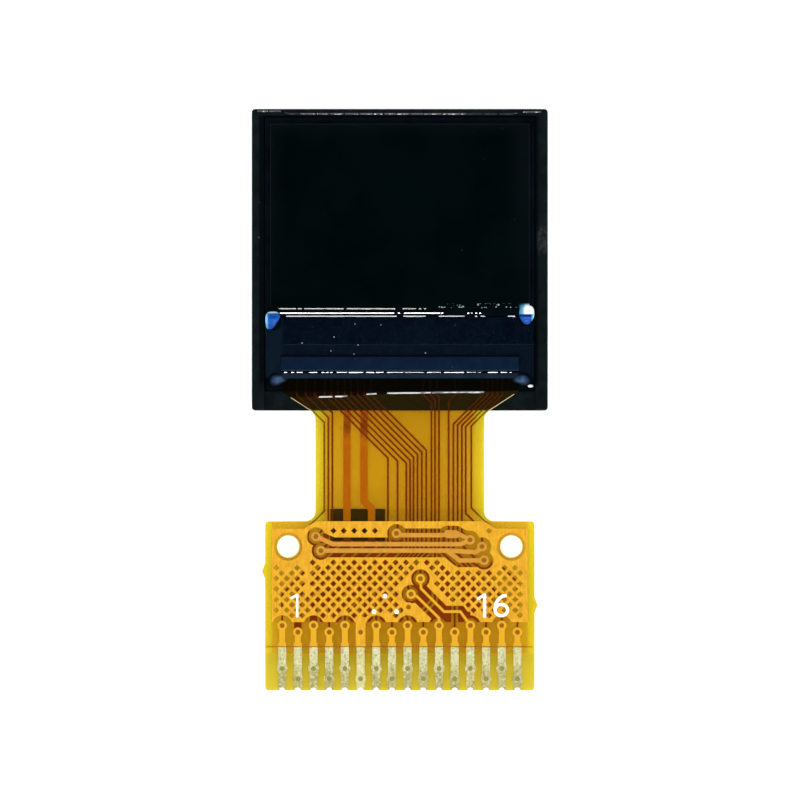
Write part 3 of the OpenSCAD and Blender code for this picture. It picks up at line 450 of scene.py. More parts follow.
dust(moulding, 3.0, 0.11, 0.25, (0.03, 0.033, 0.036))
dress(moulding, "backlight_frame")

# %% [markdown]
# ### Panel
# The polariser is a black gloss film, and under it lies dark glass with ground edges. The flat faces
# are polished and the ground chamfers are dull, so the gloss is a clear coat whose weight follows a
# mask: strong on the face, faint on the side and upper chamfers and nothing on the lower ones.

# %% Polish and dark glass
FACE_GLOSS, FILM_RIM_GLOSS, GLASS_RIM_GLOSS = 0.6, 0.08, 0.02
FILM_RIM, GLASS_RIM, RIM_SOFT = 0.04, 0.12, 0.005
glass_lo, glass_hi = box_mm("colour_filter_glass")


def polish(made, lo, hi, rim, rim_gloss):
    """Coat Weight: rim gloss mixed to face gloss inside the chamfers, times zero along the lower edge."""
    face = product(made, ("X", lo[0] + rim, hi[0] - rim, RIM_SOFT),
                   ("Y", lo[1] + rim, hi[1] - rim, RIM_SOFT))
    gloss = put(made.tree, "Mix", {0: face, 2: rim_gloss, 3: FACE_GLOSS}, data_type="FLOAT").outputs[0]
    weight = product(made, gloss, ("Y", lo[1] + rim, FAR, RIM_SOFT))
    made.tree.links.new(weight, made.shader.inputs["Coat Weight"])


dark_glass = finish("masked_glass", (0.0006, 0.0014, 0.0024), (0.0012, 0.0026, 0.0042),
                    1.2, 0.4, 0.5, 0.002, specular=0.0)
dust(dark_glass, 3.0, 0.06, 0.3, (0.02, 0.024, 0.03))
polish(dark_glass, glass_lo, glass_hi, GLASS_RIM, GLASS_RIM_GLOSS)
dress(dark_glass, "array_glass", "colour_filter_glass", "liquid_crystal")

# %% [markdown]
# The polariser is a shade paler round the edge of its upper half. Pale specks on the right half of
# its lower edge are grit from cutting and painted glints that continue its edge highlight in dots.
# Glue has crept onto its lower right corner, as a film too thin to be a piece of its own, painted
# pale teal and white towards its outer end as the drop's painted highlight.

# %% Polariser
polariser_lo, polariser_hi = box_mm("front_polarizer")
INLAND_LEFT, INLAND_RIGHT = polariser_lo[0] + 0.3, polariser_hi[0] - 0.7
INLAND_TOP = polariser_hi[1] - 0.3
MARGIN_STRENGTH = 0.4
GRIT_AND_GLINT_START, GRIT_AND_GLINT_END, GRIT_AND_GLINT_TOP = column_x(438), column_x(516), polariser_lo[1] + 0.2
CAP_PATCH_FROM, CAP_PATCH_TO, CAP_PATCH_TOP = column_x(520.5), column_x(531.5), row_y(305.3)
PATCH_WHITE_FROM = column_x(524.5)
CAP_SHEEN_TEAL, CAP_HIGHLIGHT_WHITE = (0.06, 0.2, 0.3), (0.5, 0.55, 0.55)
polariser = finish("black_polarising_film", (0.0002, 0.0011, 0.0012), (0.0005, 0.002, 0.002),
                   0.4, 0.4, 0.5, specular=0.0)
dust(polariser, 2.2, 0.05, 0.35, (0.02, 0.025, 0.028))
inland = product(polariser, ("X", INLAND_LEFT, INLAND_RIGHT, 0.5), ("Y", -FAR, INLAND_TOP, 0.4))
margin = calculate(polariser.tree, "SUBTRACT", 1.0, inland)
upper_half = "Y", 0.0, 9.0, 3.5
paint(polariser, (0.0028, 0.0036, 0.005), margin, upper_half, MARGIN_STRENGTH)
# Pale specks along the right half of the lower edge: grit and painted glints.
paint(polariser, (0.2, 0.22, 0.23), specks(polariser, 11.0, 0.5, 0.6),
      ("X", GRIT_AND_GLINT_START, GRIT_AND_GLINT_END, 0.1), ("Y", -FAR, GRIT_AND_GLINT_TOP, SOFT))
# Painted highlight: glue lapped onto the corner, pale teal, white towards its outer end.
lapped_highlight = product(polariser, ("X", CAP_PATCH_FROM, CAP_PATCH_TO, 0.11), ("Y", -FAR, CAP_PATCH_TOP, 0.1))
paint(polariser, CAP_SHEEN_TEAL, lapped_highlight)
paint(polariser, CAP_HIGHLIGHT_WHITE, lapped_highlight, ("X", PATCH_WHITE_FROM, CAP_PATCH_TO, 0.08))
polish(polariser, polariser_lo, polariser_hi, FILM_RIM, FILM_RIM_GLOSS)
dress(polariser, "front_polarizer", "rear_polarizer")

# %% [markdown]
# The ledge is coated with a thin blue-black resin. It is a shade lighter towards the edge of the
# glass and along its left end, and a faint line marks where a second pass of resin began. The chip
# is a bar of polished silicon, dull along its lower edge. Cured bond film is nearly black.

# %% Ledge coating and chip
PASS_LINE, LINE_HALF = row_y(344.5), 0.016
LEFT_END, DULL_EDGE = 0.75, 0.04
ledge_lo, ledge_hi = box_mm("ledge_coating")
chip_end = box_mm("driver_chip")[0][1]
ledge_resin = finish("blue_black_resin", (0.0002, 0.0013, 0.004), (0.0006, 0.0026, 0.007),
                     0.7, 0.1, 0.22, specular=0.1)
paint(ledge_resin, (0.0008, 0.0028, 0.007), ("Y", -FAR, PASS_LINE, 0.03))
paint(ledge_resin, (0.003, 0.0066, 0.012), ("Y", PASS_LINE - LINE_HALF, PASS_LINE + LINE_HALF, 0.008))
paint(ledge_resin, (0.0014, 0.0047, 0.0098), ("X", -FAR, ledge_lo[0] + LEFT_END, 0.12))
dust(ledge_resin, 2.5, 0.07, 0.3, (0.03, 0.045, 0.06))
dress(ledge_resin, "ledge_coating")
chip_silicon = finish("polished_silicon", (0.001, 0.0046, 0.0135), (0.0017, 0.0066, 0.019),
                      1.5, 0.12, 0.22, specular=0.1)
dust(chip_silicon, 3.0, 0.07, 0.25, (0.05, 0.07, 0.1))
dull(chip_silicon, 0.6, ("Y", -FAR, chip_end + DULL_EDGE, 0.01))
dress(chip_silicon, "driver_chip")
bond = finish("cured_bond_film", (0.0008, 0.001, 0.001), (0.002, 0.0022, 0.002),
              6.0, 0.3, 0.5, specular=0.02)
dress(bond, "chip_bond_film", "flex_bond_film", "cell_seal")

# %% [markdown]
# ### Film
# The tail is clear amber film. Light passes it on its way to the floor and again on its way back,
# and the film keeps most of the blue each time. So a film is mostly a tinted Transparent shader,
# with a little gloss mixed in that grows towards grazing angles. The cover films are nearly
# colourless, which is why their edges hardly show.

# %% Amber film
FILM_GLOSS, GLOSS_POWER = 0.5, 4.0
COVER_HAZE, BASE_HAZE = 0.004, 0.12


def film(name, tint, low, high, haze=COVER_HAZE):
    """A see-through film: each face passes the tint; haze plus a power of the facing ratio is gloss."""
    made = finish(name, low, high, 3.0, 0.2, 0.34, specular=0.2)
    facing = put(made.tree, "LayerWeight", {"Blend": 0.5})
    grazing = calculate(made.tree, "POWER", facing.outputs["Facing"], GLOSS_POWER)
    share = calculate(made.tree, "MULTIPLY_ADD", grazing, FILM_GLOSS, haze)
    clear = put(made.tree, "BsdfTransparent", {"Color": rgba(tint)})
    mixed = put(made.tree, "MixShader", {0: share, 1: clear.outputs[0], 2: made.shader.outputs[0]})
    made.tree.links.new(mixed.outputs[0], made.output.inputs["Surface"])
    return made


base_film = film("amber_base_film", (0.846, 0.748, 0.222), (0.37, 0.49, 0.02), (0.43, 0.55, 0.024),
                 BASE_HAZE)
cover_film = film("clear_cover_film", (0.998, 0.993, 0.9), (0.72, 0.5, 0.12), (0.8, 0.58, 0.16))
stiff_film = film("pale_stiffener_film", (0.99, 0.955, 0.88), (0.74, 0.52, 0.12), (0.82, 0.6, 0.18))
dress(base_film, "flex_base_film")
dress(cover_film, "flex_front_coverlay", "flex_rear_coverlay", "led_flex")
dress(stiff_film, "tail_stiffener")

# %% [markdown]
# Where copper was etched off, the base film stays a little cloudy, and its haze is painted with
# light and shade: red brown as painted shade in the hatch and the neck, whose floor lies in shade,
# olive at the bare end, and dark over the frame and over the black tape, where no light comes from
# below.

# %% Clouding and painted shade of the base film
NECK_HALF = column_x(476)
frame_end = box_mm("backlight_frame")[0][1]
stiffener_end, stiffener_start = (corner[1] for corner in box_mm("tail_stiffener"))
hatch_lo, hatch_hi = box_mm("flex_ground_mesh")
tape_lo, tape_hi = box_mm("rear_insulating_tape")
neck_width = "X", -NECK_HALF, NECK_HALF, 0.3
# Painted shade in the base film's haze, region by region.
for colour, *where in (
        ((0.2, 0.006, 0.003), ("X", hatch_lo[0], hatch_hi[0], 0.05),
         ("Y", stiffener_end, hatch_hi[1], 0.03)),
        ((0.03, 0.14, 0.015), ("Y", -FAR, stiffener_end, 0.03)),
        ((0.24, 0.008, 0.006), neck_width, ("Y", hatch_hi[1], FAR, 0.03)),
        ((0.1, 0.0, 0.0), neck_width, ("Y", hatch_hi[1], stiffener_start, 0.03)),
        ((0.0, 0.0, 0.0), ("Y", frame_end, FAR, 0.03)),
        ((0.01, 0.004, 0.0), ("X", tape_lo[0], tape_hi[0], SOFT), ("Y", tape_lo[1], tape_hi[1], SOFT))):
    paint(base_film, colour, *where)
print("clouding painted on", base_film.material.name)

# %% [markdown]
# ### Copper
# Etched copper foil is bright and only half mirror-like: rolling leaves streaks along the tail. The
# ground pad is part of the hatch, and below the end of the cover film it is plated like the other
# pads. Bare plating is pitted, and rubbed pale in spots.

# %% Hatch and plated barrels
ROLLED = 22.0, 2.0
PIT_SIZE = 0.62
PITS = ((11.0, 1.0, 0.5, (0.12, 0.115, 0.04)), (10.0, 0.75, 0.32, (0.74, 0.72, 0.5)))
cover_end = box_mm("flex_front_coverlay")[0][1]
bare = "Y", -FAR, cover_end, SOFT


def foil(name, low, high, metallic, smoothest=0.42, roughest=0.58, **sockets):
    """Rolled metal: finely scratched, and mirror-like only by its metallic share."""
    return finish(name, low, high, 4.0, smoothest, roughest, 0.002, Metallic=metallic, **sockets)


def wear_plating(made):
    """Dark pits and pale rubbed spots on the plating that the cover film leaves bare."""
    for per_mm, share, strength, colour in PITS:
        paint(made, colour, specks(made, per_mm, PIT_SIZE, share), bare, strength)


copper = foil("etched_copper", (0.42, 0.2, 0.006), (0.59, 0.29, 0.011), 0.3)
streaks = streaked(copper, *ROLLED)
paint(copper, (0.62, 0.33, 0.016), streaks, streaks)
paint(copper, (0.44, 0.41, 0.18), bare)
wear_plating(copper)
dress(copper, "flex_ground_mesh", "via_barrels")

# %% [markdown]
# The tracks on the far side are seen from behind, where the treated face of the foil is dark brown,
# and they are painted darker as shade, for the shade along the edges of thin tracks. They are darker
# again over the frame and over the glass, where no light comes through from below. The supply tracks
# of the lamp are painted darker behind the hatch than in the neck, as painted shade of the hatch.

# %% Tracks and joints
TAIL_TOP = row_y(524)
ON_GLASS = box_mm("array_glass")[0][1] - 0.08
rear = foil("rear_tracks", (0.17, 0.035, 0.015), (0.24, 0.055, 0.025), 0.0, specular=0.1)
# Painted shade over the frame and over the glass.
paint(rear, (0.075, 0.011, 0.006), ("Y", frame_end, FAR, 0.06))
paint(rear, (0.002, 0.002, 0.0015), ("Y", ON_GLASS, FAR, 0.06))
dress(rear, "flex_rear_copper")
supply = foil("lamp_supply_tracks", (0.66, 0.31, 0.14), (0.76, 0.365, 0.18), 0.2)
# Painted shade: the supply tracks are darker behind the hatch.
paint(supply, (0.2, 0.045, 0.02), ("Y", -FAR, TAIL_TOP, 0.2))
dress(supply, "led_supply_tracks")
for node, *looks in (
        ("flex_jumpers", "jumper_copper", (0.395, 0.175, 0.02), (0.49, 0.22, 0.03), 0.3),
        ("led_flex_copper", "lamp_flex_copper", (0.74, 0.38, 0.08), (0.86, 0.48, 0.11), 0.3),
        ("flex_rear_fill", "balancing_copper", (0.24, 0.045, 0.008), (0.33, 0.066, 0.012), 0.2),
        ("led_solder_joints", "bright_solder", (0.55, 0.55, 0.56), (0.72, 0.72, 0.73), 0.7, 0.25, 0.4)):
    dress(foil(*looks), node)

# %% [markdown]
# Each pad took the plating a little differently, so a wide streak mask, about one feature for each
# pad, drifts them from grey green to cream. Their lower halves are worn dark in streaks and their
# upper halves are lighter by a painted highlight. Above the end of the cover film they are copper
# without plating.

# %% Pads
PAD_TO_PAD, WORN = (1.3, 0.3), (0.9, 0.5)
DRIFT, UPPER_HIGHLIGHT = 0.6, 0.35
tail_end = box_mm("flex_base_film")[0][1]
pad_middle = (cover_end + tail_end) / 2
pads = foil("plated_pads", (0.21, 0.185, 0.045), (0.28, 0.25, 0.062), 0.35, 0.3, 0.5)
pad_streaks = streaked(pads, *ROLLED)
paint(pads, (0.43, 0.385, 0.13), pad_streaks)
paint(pads, (0.45, 0.4, 0.2), streaked(pads, *PAD_TO_PAD), DRIFT)
paint(pads, (0.2, 0.19, 0.07), streaked(pads, *WORN), ("Y", -FAR, pad_middle, 0.3), pad_streaks)
# Painted highlight on the upper halves of the pads.
paint(pads, (0.62, 0.63, 0.41), ("Y", pad_middle, FAR, 0.4), UPPER_HIGHLIGHT)
wear_plating(pads)
paint(pads, (0.58, 0.3, 0.012), ("Y", cover_end, FAR, SOFT))
dress(pads, "solder_pads")

# %% [markdown]
# ### Inside the backlight
# These pieces hardly show from outside: white reflector and diffuser, clear guide and prism
# films, the lamp with its yellow phosphor, and black tapes.

# %% Backlight pieces
guide = finish("clear_guide", (0.82, 0.86, 0.87), (0.9, 0.94, 0.95),
               1.0, 0.08, 0.16, Transmission_Weight=0.6)
dress(guide, "light_guide", "lower_prism_film", "upper_prism_film")
for nodes, *looks in (
        (("rear_reflector", "diffuser_film"),
         "white_film", (0.82, 0.82, 0.81), (0.9, 0.9, 0.89), 2.0, 0.3, 0.45),
        (("rim_tape", "rear_insulating_tape"),
         "black_tape", (0.006, 0.006, 0.007), (0.014, 0.014, 0.015), 8.0, 0.6, 0.75, 0.004),
        (("backlight_led",), "white_lamp_housing", (0.84, 0.84, 0.82), (0.92, 0.92, 0.9), 5.0, 0.4, 0.55),
        (("led_phosphor",), "yellow_phosphor", (0.85, 0.68, 0.12), (0.95, 0.8, 0.2), 14.0, 0.35, 0.5)):
    dress(finish(*looks), *nodes)

# %% [markdown]
# ## New pieces
# Each new piece is a surface over a grid of points, worked out as whole arrays. A grid closes on
# itself round each section and is capped at its two ends. Stacking several grids along a first
# axis makes one piece of several bodies.

# %% Grids of points to pieces
MERGE_MM = 1e-5


def surface(name, points, made, smooth=True, stands_for=()):
    """Quads between neighbours of a grid of points in mm, shape (bodies, sections, points, 3)."""
    points = points if points.ndim == 4 else points[None]
    bodies, rows, columns = points.shape[:3]
    index = np.arange(rows * columns).reshape(rows, columns)
    near, far = index[:-1], index[1:]
    quads = np.stack([near, np.roll(near, -1, 1), np.roll(far, -1, 1), far], -1).reshape(-1, 4)
    first = np.arange(bodies)[:, None, None] * rows * columns
    caps = np.stack([index[0, ::-1], index[-1]])
    mesh = bpy.data.meshes.new(name)
    faces = (quads + first).reshape(-1, 4).tolist() + (caps + first).reshape(-1, columns).tolist()
    mesh.from_pydata((points.reshape(-1, 3) * MM).tolist(), [], faces)
    shell = bmesh.new()
    shell.from_mesh(mesh)
    bmesh.ops.remove_doubles(shell, verts=shell.verts, dist=MERGE_MM * MM)
    bmesh.ops.recalc_face_normals(shell, faces=shell.faces)
    shell.to_mesh(mesh)
    shell.free()
    mesh.polygons.foreach_set("use_smooth", np.full(len(mesh.polygons), smooth))
    mesh.materials.append(made.material)
    piece = bpy.data.objects.new(name, mesh)
    scene.collection.objects.link(piece)
    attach(piece, "root")
    if stands_for:
        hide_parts(*stands_for)
    print(name, "faces:", len(mesh.polygons))


print("piece helper ready")

# %% [markdown]
# Three more helpers shape the grids: the angles of a polar grid, a section carried along a path, and
# a slow seeded wander that keeps lines from looking ruled.

# %% Shapes of grids
def polar(around, down):
    """Angles of a polar grid: round each ring, and from the top pole at zero down to the other at pi."""
    return np.linspace(0, 2 * math.pi, around, endpoint=False), np.linspace(0, math.pi, down)[:, None]


def carry(path, section):
    """A section carried along a path: each section point is the path's point, plus its first number
    to the right of travel, plus its second number upwards. Path (n, 3), section (m, 2) or (n, m, 2)."""
    ahead = np.gradient(path, axis=0)
    right = stacked(ahead[:, 1], -ahead[:, 0], 0.0)
    right /= np.linalg.norm(right, axis=1, keepdims=True)
    upward = np.array([0.0, 0.0, 1.0])
    return path[:, None] + right[:, None] * section[..., :1] + upward * section[..., 1:]


def waver(stations, step, seed):
    """Slow wander between -1 and 1: seeded heights at knots a step apart, joined by half cosine waves."""
    place = (stations - stations.min()) / step
    left = np.floor(place).astype(int)
    heights = np.random.default_rng(seed).uniform(-1, 1, left.max() + 2)
    blend = (1 - np.cos(math.pi * (place - left))) / 2
    return heights[left] * (1 - blend) + heights[left + 1] * blend


print("shape helpers ready")

# %% [markdown]
# ### Glue drops on the front glass
# Two drops of blue glue lock the corners of the front glass to the ledge. The glue is deep blue,
# with a painted highlight along its outer side and a pale painted highlight where it lies on the
# glass. On the right that highlight turns white towards its outer end, as on the polariser, and
# painted shade darkens the glue just below it.

# %% Blue drop glue
OUTER_HIGHLIGHT_SIDE = glass_hi[0] - 0.1
LEFT_CAP_HIGHLIGHT, RIGHT_CAP_HIGHLIGHT, CAP_SHADE_END, CAP_WHITE_START = row_y(313.2), row_y(314.2), row_y(317.2), column_x(523.5)
drop_glue = finish("blue_drop_glue", (0.002, 0.028, 0.16), (0.006, 0.058, 0.26),
                   6.0, 0.26, 0.36, specular=0.05)
on_left, on_right = ("X", -FAR, 0.0, SOFT), ("X", 0.0, FAR, SOFT)
right_cap_highlight = "Y", RIGHT_CAP_HIGHLIGHT, FAR, SOFT
# Painted shade below the right cap, then painted highlights on the outer sides and on the caps.
for colour, *where in (
        ((0.0015, 0.016, 0.1), on_right, ("Y", CAP_SHADE_END, RIGHT_CAP_HIGHLIGHT, 0.05)),
        ((0.13, 0.35, 0.52), ("X", -FAR, -OUTER_HIGHLIGHT_SIDE, 0.06)),
        ((0.13, 0.35, 0.52), ("X", OUTER_HIGHLIGHT_SIDE, FAR, 0.06)),
        ((0.33, 0.42, 0.45), on_left, ("Y", LEFT_CAP_HIGHLIGHT, FAR, 0.03)),
        (CAP_SHEEN_TEAL, on_right, right_cap_highlight),
        (CAP_HIGHLIGHT_WHITE, on_right, right_cap_highlight, ("X", CAP_WHITE_START, FAR, 0.08))):
    paint(drop_glue, colour, *where)
print("glue:", drop_glue.material.name)

# %% [markdown]
# Each drop lies half on the glass and half in the corner below it. The surface is a step that falls
# smoothly from the glass to the ledge, plus a dome: polar rings from the top pole to the rim, and
# back under to a second pole. The plan is a soft square that narrows downwards, as a drop does when
# it runs.

# %% Edge glue drops
SQUARENESS, NARROWEST = 0.65, 0.55
DROP_PROUD, DROP_FOOT = 0.14, 0.1
DROPS = (("left_edge_glue", 311.6, 329.2, 0.0), ("right_edge_glue", 305.4, 324.4, 0.55))
ledge_top = ledge_hi[2]


def glue_drop(node, top, end, pivot):
    """Polar grid over the node's width and from top to end, squared off by taking roots of cosine and
    sine and narrowed towards the pivot (a share of the width) on the way down. Height is the step under
    it plus a proud dome, the root of one minus the radius squared; the under side follows the step."""
    lo, hi = box_mm(node)
    lo[1], hi[1] = end, top
    centre, reach = (lo + hi)[:2] / 2, (hi - lo)[:2] / 2
    turn, fall = polar(around=48, down=29)
    radius = np.sin(fall)
    square = [np.sign(wave) * np.abs(wave) ** SQUARENESS for wave in (np.cos(turn), np.sin(turn))]
    x = centre[0] + reach[0] * radius * square[0]
    y = centre[1] + reach[1] * radius * square[1]
    axis = lo[0] + pivot * (hi[0] - lo[0])
    x = axis + (x - axis) * np.interp(y, [end, glass_lo[1]], [NARROWEST, 1.0])
    rise = np.clip((y - end - DROP_FOOT) / (glass_lo[1] - end - DROP_FOOT / 2), 0, 1)
    step = ledge_top + (glass_hi[2] - ledge_top) * rise * rise * (3 - 2 * rise)
    over = np.where(fall < math.pi / 2, np.cos(fall), 0.0)
    return stacked(x, y, np.minimum(step + DROP_PROUD * over, hi[2]))


for node, top, end, pivot in DROPS:
    drop = glue_drop(node, row_y(top), row_y(end), pivot)
    surface(node.replace("glue", "drop"), drop, drop_glue, stands_for=(node,))

# %% [markdown]
# The drops at the ends of the flex are thin and clear, and have spread over the resin round them.
# Each is a low bell on polar rings with a wandering rim. Its colour goes from pale blue at the thick
# middle to the resin's own blue black at the rim.

# %% End glue
THIN_BELOW = ledge_top + 0.052
SMEAR_REACH, SMEAR_SHIFT, SMEAR_SQUASH = 0.38, 0.12, 0.68
TWO_WAVES, THREE_WAVES = 0.12, 0.09
RIM_LIFT, UNDER_LIFT = 0.002, 0.004
end_glue = finish("clear_end_glue", (0.016, 0.036, 0.078), (0.05, 0.1, 0.19),
                  6.0, 0.34, 0.42, specular=0.05)
paint(end_glue, (0.0008, 0.003, 0.0075), ("Z", -FAR, THIN_BELOW, 0.04))


def smear(node, phase):
    """Bell over the node, drawn a little towards the flex and squashed along Y: height is a squared
    cosine, radius a sine with two and three waves round the rim."""
    lo, hi = box_mm(node)
    turn, fall = polar(around=48, down=25)
    waves = TWO_WAVES * np.sin(2 * turn + phase) + THREE_WAVES * np.sin(3 * turn + 2 * phase)
    radius = SMEAR_REACH * (1 + waves) * np.sin(fall)
    centre = (lo + hi)[:2] / 2
    centre[0] -= np.sign(centre[0]) * SMEAR_SHIFT
    bell = ledge_top + RIM_LIFT + (hi[2] - ledge_top) * np.cos(fall) ** 2
    level = np.where(fall < math.pi / 2, bell, lo[2] + UNDER_LIFT)
    x = centre[0] + radius * np.cos(turn)
    y = centre[1] + SMEAR_SQUASH * radius * np.sin(turn)
    return stacked(x, y, level)


for node, phase in (("left_end_glue", 0.6), ("right_end_glue", 2.2)):
    surface(node.replace("glue", "smear"), smear(node, phase), end_glue, stands_for=(node,))

# %% [markdown]
# ### Beads of resin
# Thin beads of clear resin run along the edges: on the frame's top wall, along the polariser, along
# the ground rim of the front glass, beside the chip and on the edge of the cover film. Each is a
# section with one flat slope towards the tail, carried along a row of the photograph. The slope leans
# so that it mirrors a lamp. The resin is broken into dashes, and each row is a list of spans: a few
# measured ends tell where the white lines are better than any noise could.

# %% Beads
DASH_STATIONS = 30
RUN_WANDER, RUN_STEP = 0.2, 0.3
LOW_LEAN, OVER_FLEX_LEAN, HALF_LEAN = 43.5, 42.3, 22.5
BEAD_TONES = (0.004, 0.006, 0.008), (0.01, 0.013, 0.016)
bead_resin = finish("clear_bead_resin", *BEAD_TONES, 8.0, 0.06, 0.16, specular=1.0)
faint_resin = finish("faint_bead_resin", *BEAD_TONES, 8.0, 0.1, 0.2, specular=0.2)


def bead(path, run, lean, back=0.03, sink=0.01):
    """A ridge with a slope of the given run and lean on its right side, and a short fall behind it."""
    crest = run * np.tan(np.radians(lean))
    nil = np.zeros(len(path))
    across = stacked(run, run, nil, -back, -back)
    upward = stacked(-sink, nil, crest, nil, -sink)
    return carry(path, stacked(across, upward))


def dashes(name, resin, spans, row, level, run, lean, unrest, seed, sink=0.01, ripple=0.2):
    """One piece of beads, one over each span of pixels, centred on a row of pixels (one number, or
    columns and rows to interpolate). Run and lean wander along a bead, the lean by unrest degrees
    within each ripple length in mm."""
    bodies = []
    for number, (start, end) in enumerate(spans):
        column = np.linspace(start, end, DASH_STATIONS)
        place = at_pixel(column, np.interp(column, *row) if np.ndim(row) else row)
        width = run * (1 + RUN_WANDER * waver(place[:, 0], RUN_STEP, seed + number))
        slope = lean + unrest * waver(place[:, 0], ripple, seed - number)
        path = stacked(place[:, 0], place[:, 1] + run / 2, level)
        bodies.append(bead(path, width, slope, sink=sink))
    surface(name, np.stack(bodies), resin, smooth=False)


print("bead helpers ready")

# %% [markdown]
# The line on the top wall bends up at both corners and is fainter beside the bends. The beads on the
# panel catch the low lamp, and the ones on the wall the lamp at half height.

# %% Beads on the wall and the panel
WALL_SPANS = ((257.5, 268), (269, 281), (300, 315), (317, 328.5), (330, 343.5), (345, 358), (359.5, 373),
              (374, 383), (384.5, 396), (397, 410), (411, 423), (424, 441.5), (442.5, 466), (523, 541))
FAINT_SPANS = ((285, 299), (467, 482), (484, 497), (500, 517))
WALL_ROW = ((257, 281, 289, 512, 522, 542), (111.7, 111.7, 114.3, 114.4, 112.5, 112.5))
POLARISER_SPANS = ((278, 296), (298, 302), (304.5, 343.7), (346.6, 395), (402.6, 416), (419, 421),
                   (424, 426))
FACE_SPANS = ((280, 394), (398, 400), (404, 440), (441, 443), (467.6, 469), (471.3, 472.3), (475.4, 476.8),
              (479.3, 481))
RIM_SPANS = ((286, 396.6), (403.4, 425.5), (438.8, 464.7), (475, 477), (480.5, 485), (507.6, 515))
POLARISER_ROW, FACE_ROW, RIM_ROW = 309.0, 313.3, 316.3
RIM_SINK = 0.05
WALL_BEADS = (("top_wall_bead", bead_resin, WALL_SPANS), ("faint_wall_bead", faint_resin, FAINT_SPANS))
for name, resin, spans in WALL_BEADS:
    dashes(name, resin, spans, WALL_ROW, wall_top, run=0.034, lean=HALF_LEAN,
           unrest=7, seed=30, ripple=0.08)
dashes("polariser_edge_bead", faint_resin, POLARISER_SPANS, POLARISER_ROW, glass_hi[2],
       run=0.055, lean=LOW_LEAN, unrest=1.0, seed=50)
dashes("glass_face_bead", bead_resin, FACE_SPANS, FACE_ROW, glass_hi[2],
       run=0.03, lean=LOW_LEAN, unrest=1.0, seed=70)
dashes("glass_rim_bead", faint_resin, RIM_SPANS, RIM_ROW, glass_hi[2] - RIM_SINK,
       run=0.045, lean=LOW_LEAN, unrest=1.0, seed=90, sink=RIM_SINK)

# %% [markdown]
# Beside the chip the resin stands in some twenty short dashes, which lean a little less, because the
# flex hides the lowest part of the lamp from them. On the cover film the bead follows the film's
# hand-laid edge, which wanders a little.

# %% Beads beside the chip and on the cover film
CHIP_SPANS = ((284, 287), (291, 294), (297, 302.5), (309, 317), (321.5, 324.5), (326, 328.5), (330, 332.5),
              (337, 347), (349, 363), (366.5, 374), (376, 383.5), (387, 403), (405, 424), (427, 441),
              (444, 464), (467, 476), (478, 481), (488, 498), (501, 507), (509.5, 511.5))
CHIP_ROW = 372.5
COVER_SPANS = ((319, 332.5), (335, 347.5), (366.5, 376.5), (387, 431), (432, 484))
COVER_ROW = ((319, 347, 366, 387, 484), (397, 396.2, 394.5, 393.2, 392.2))
COVER_SINK = 0.05
cover_top = box_mm("flex_front_coverlay")[1][2]
dashes("chip_underfill", bead_resin, CHIP_SPANS, CHIP_ROW, ledge_top,
       run=0.027, lean=OVER_FLEX_LEAN, unrest=0.5, seed=110)
dashes("cover_edge_bead", bead_resin, COVER_SPANS, COVER_ROW, cover_top,
       run=0.055, lean=HALF_LEAN, unrest=2, seed=140, sink=COVER_SINK)

# %% [markdown]
# The film's cut edges at the shoulders shine as thin pale lines, a painted highlight: ridges in a
# pale finish. A thin dark brown line runs along the lower end of the cover film. Both are the same
# ridge in other finishes.

# %% Cut edges and the seam line
EDGE_LEAN, EDGE_UNREST, EDGE_RIPPLE, EDGE_SINK = 40, 12, 0.15, 0.02
LEFT_CUT, RIGHT_CUT = ((291, 397.6), (313, 411.8)), ((488.5, 410.6), (514, 394.1))
SEAM_REACH, SEAM_RUN, SEAM_WANDER, SEAM_STEP = 5.95, 0.03, 0.008, 0.4
# Painted highlight: a pale finish on the cut-edge ridges.
cut_edge = finish("cut_edge_painted_glint", (0.3, 0.23, 0.07), (0.48, 0.4, 0.18), 9.0, 0.2, 0.35)
for name, (start, end), run in (("left_cut_edge", LEFT_CUT, 0.014), ("right_cut_edge", RIGHT_CUT, 0.02)):
    line = np.linspace(at_pixel(*start), at_pixel(*end), 60)
    path = stacked(*line.T, cover_top)
    lean = EDGE_LEAN + EDGE_UNREST * waver(path[:, 0], EDGE_RIPPLE, seed=16)
    edge = bead(path, run, lean, back=0.01, sink=EDGE_SINK)
    surface(name, edge, cut_edge, smooth=False)

seam_line_finish = finish("dark_brown_seam_line", (0.09, 0.04, 0.006), (0.17, 0.08, 0.012),
                   5.0, 0.5, 0.65, specular=0.05)
seam_x = np.linspace(-SEAM_REACH, SEAM_REACH, 200)
seam_run = SEAM_RUN + SEAM_WANDER * waver(seam_x, SEAM_STEP, seed=17)
seam_path = stacked(seam_x, cover_end, hatch_hi[2])
seam = bead(seam_path, seam_run, EDGE_LEAN, back=0.008, sink=EDGE_SINK)
surface("cover_end_seam", seam, seam_line_finish, smooth=False)

# %% [markdown]
# ### Fillet along the flex
# Where the flex is pressed onto the glass, resin has run out and filled the corner between the
# ledge and the film. It is a low ramp that wanders a little along its lower side.

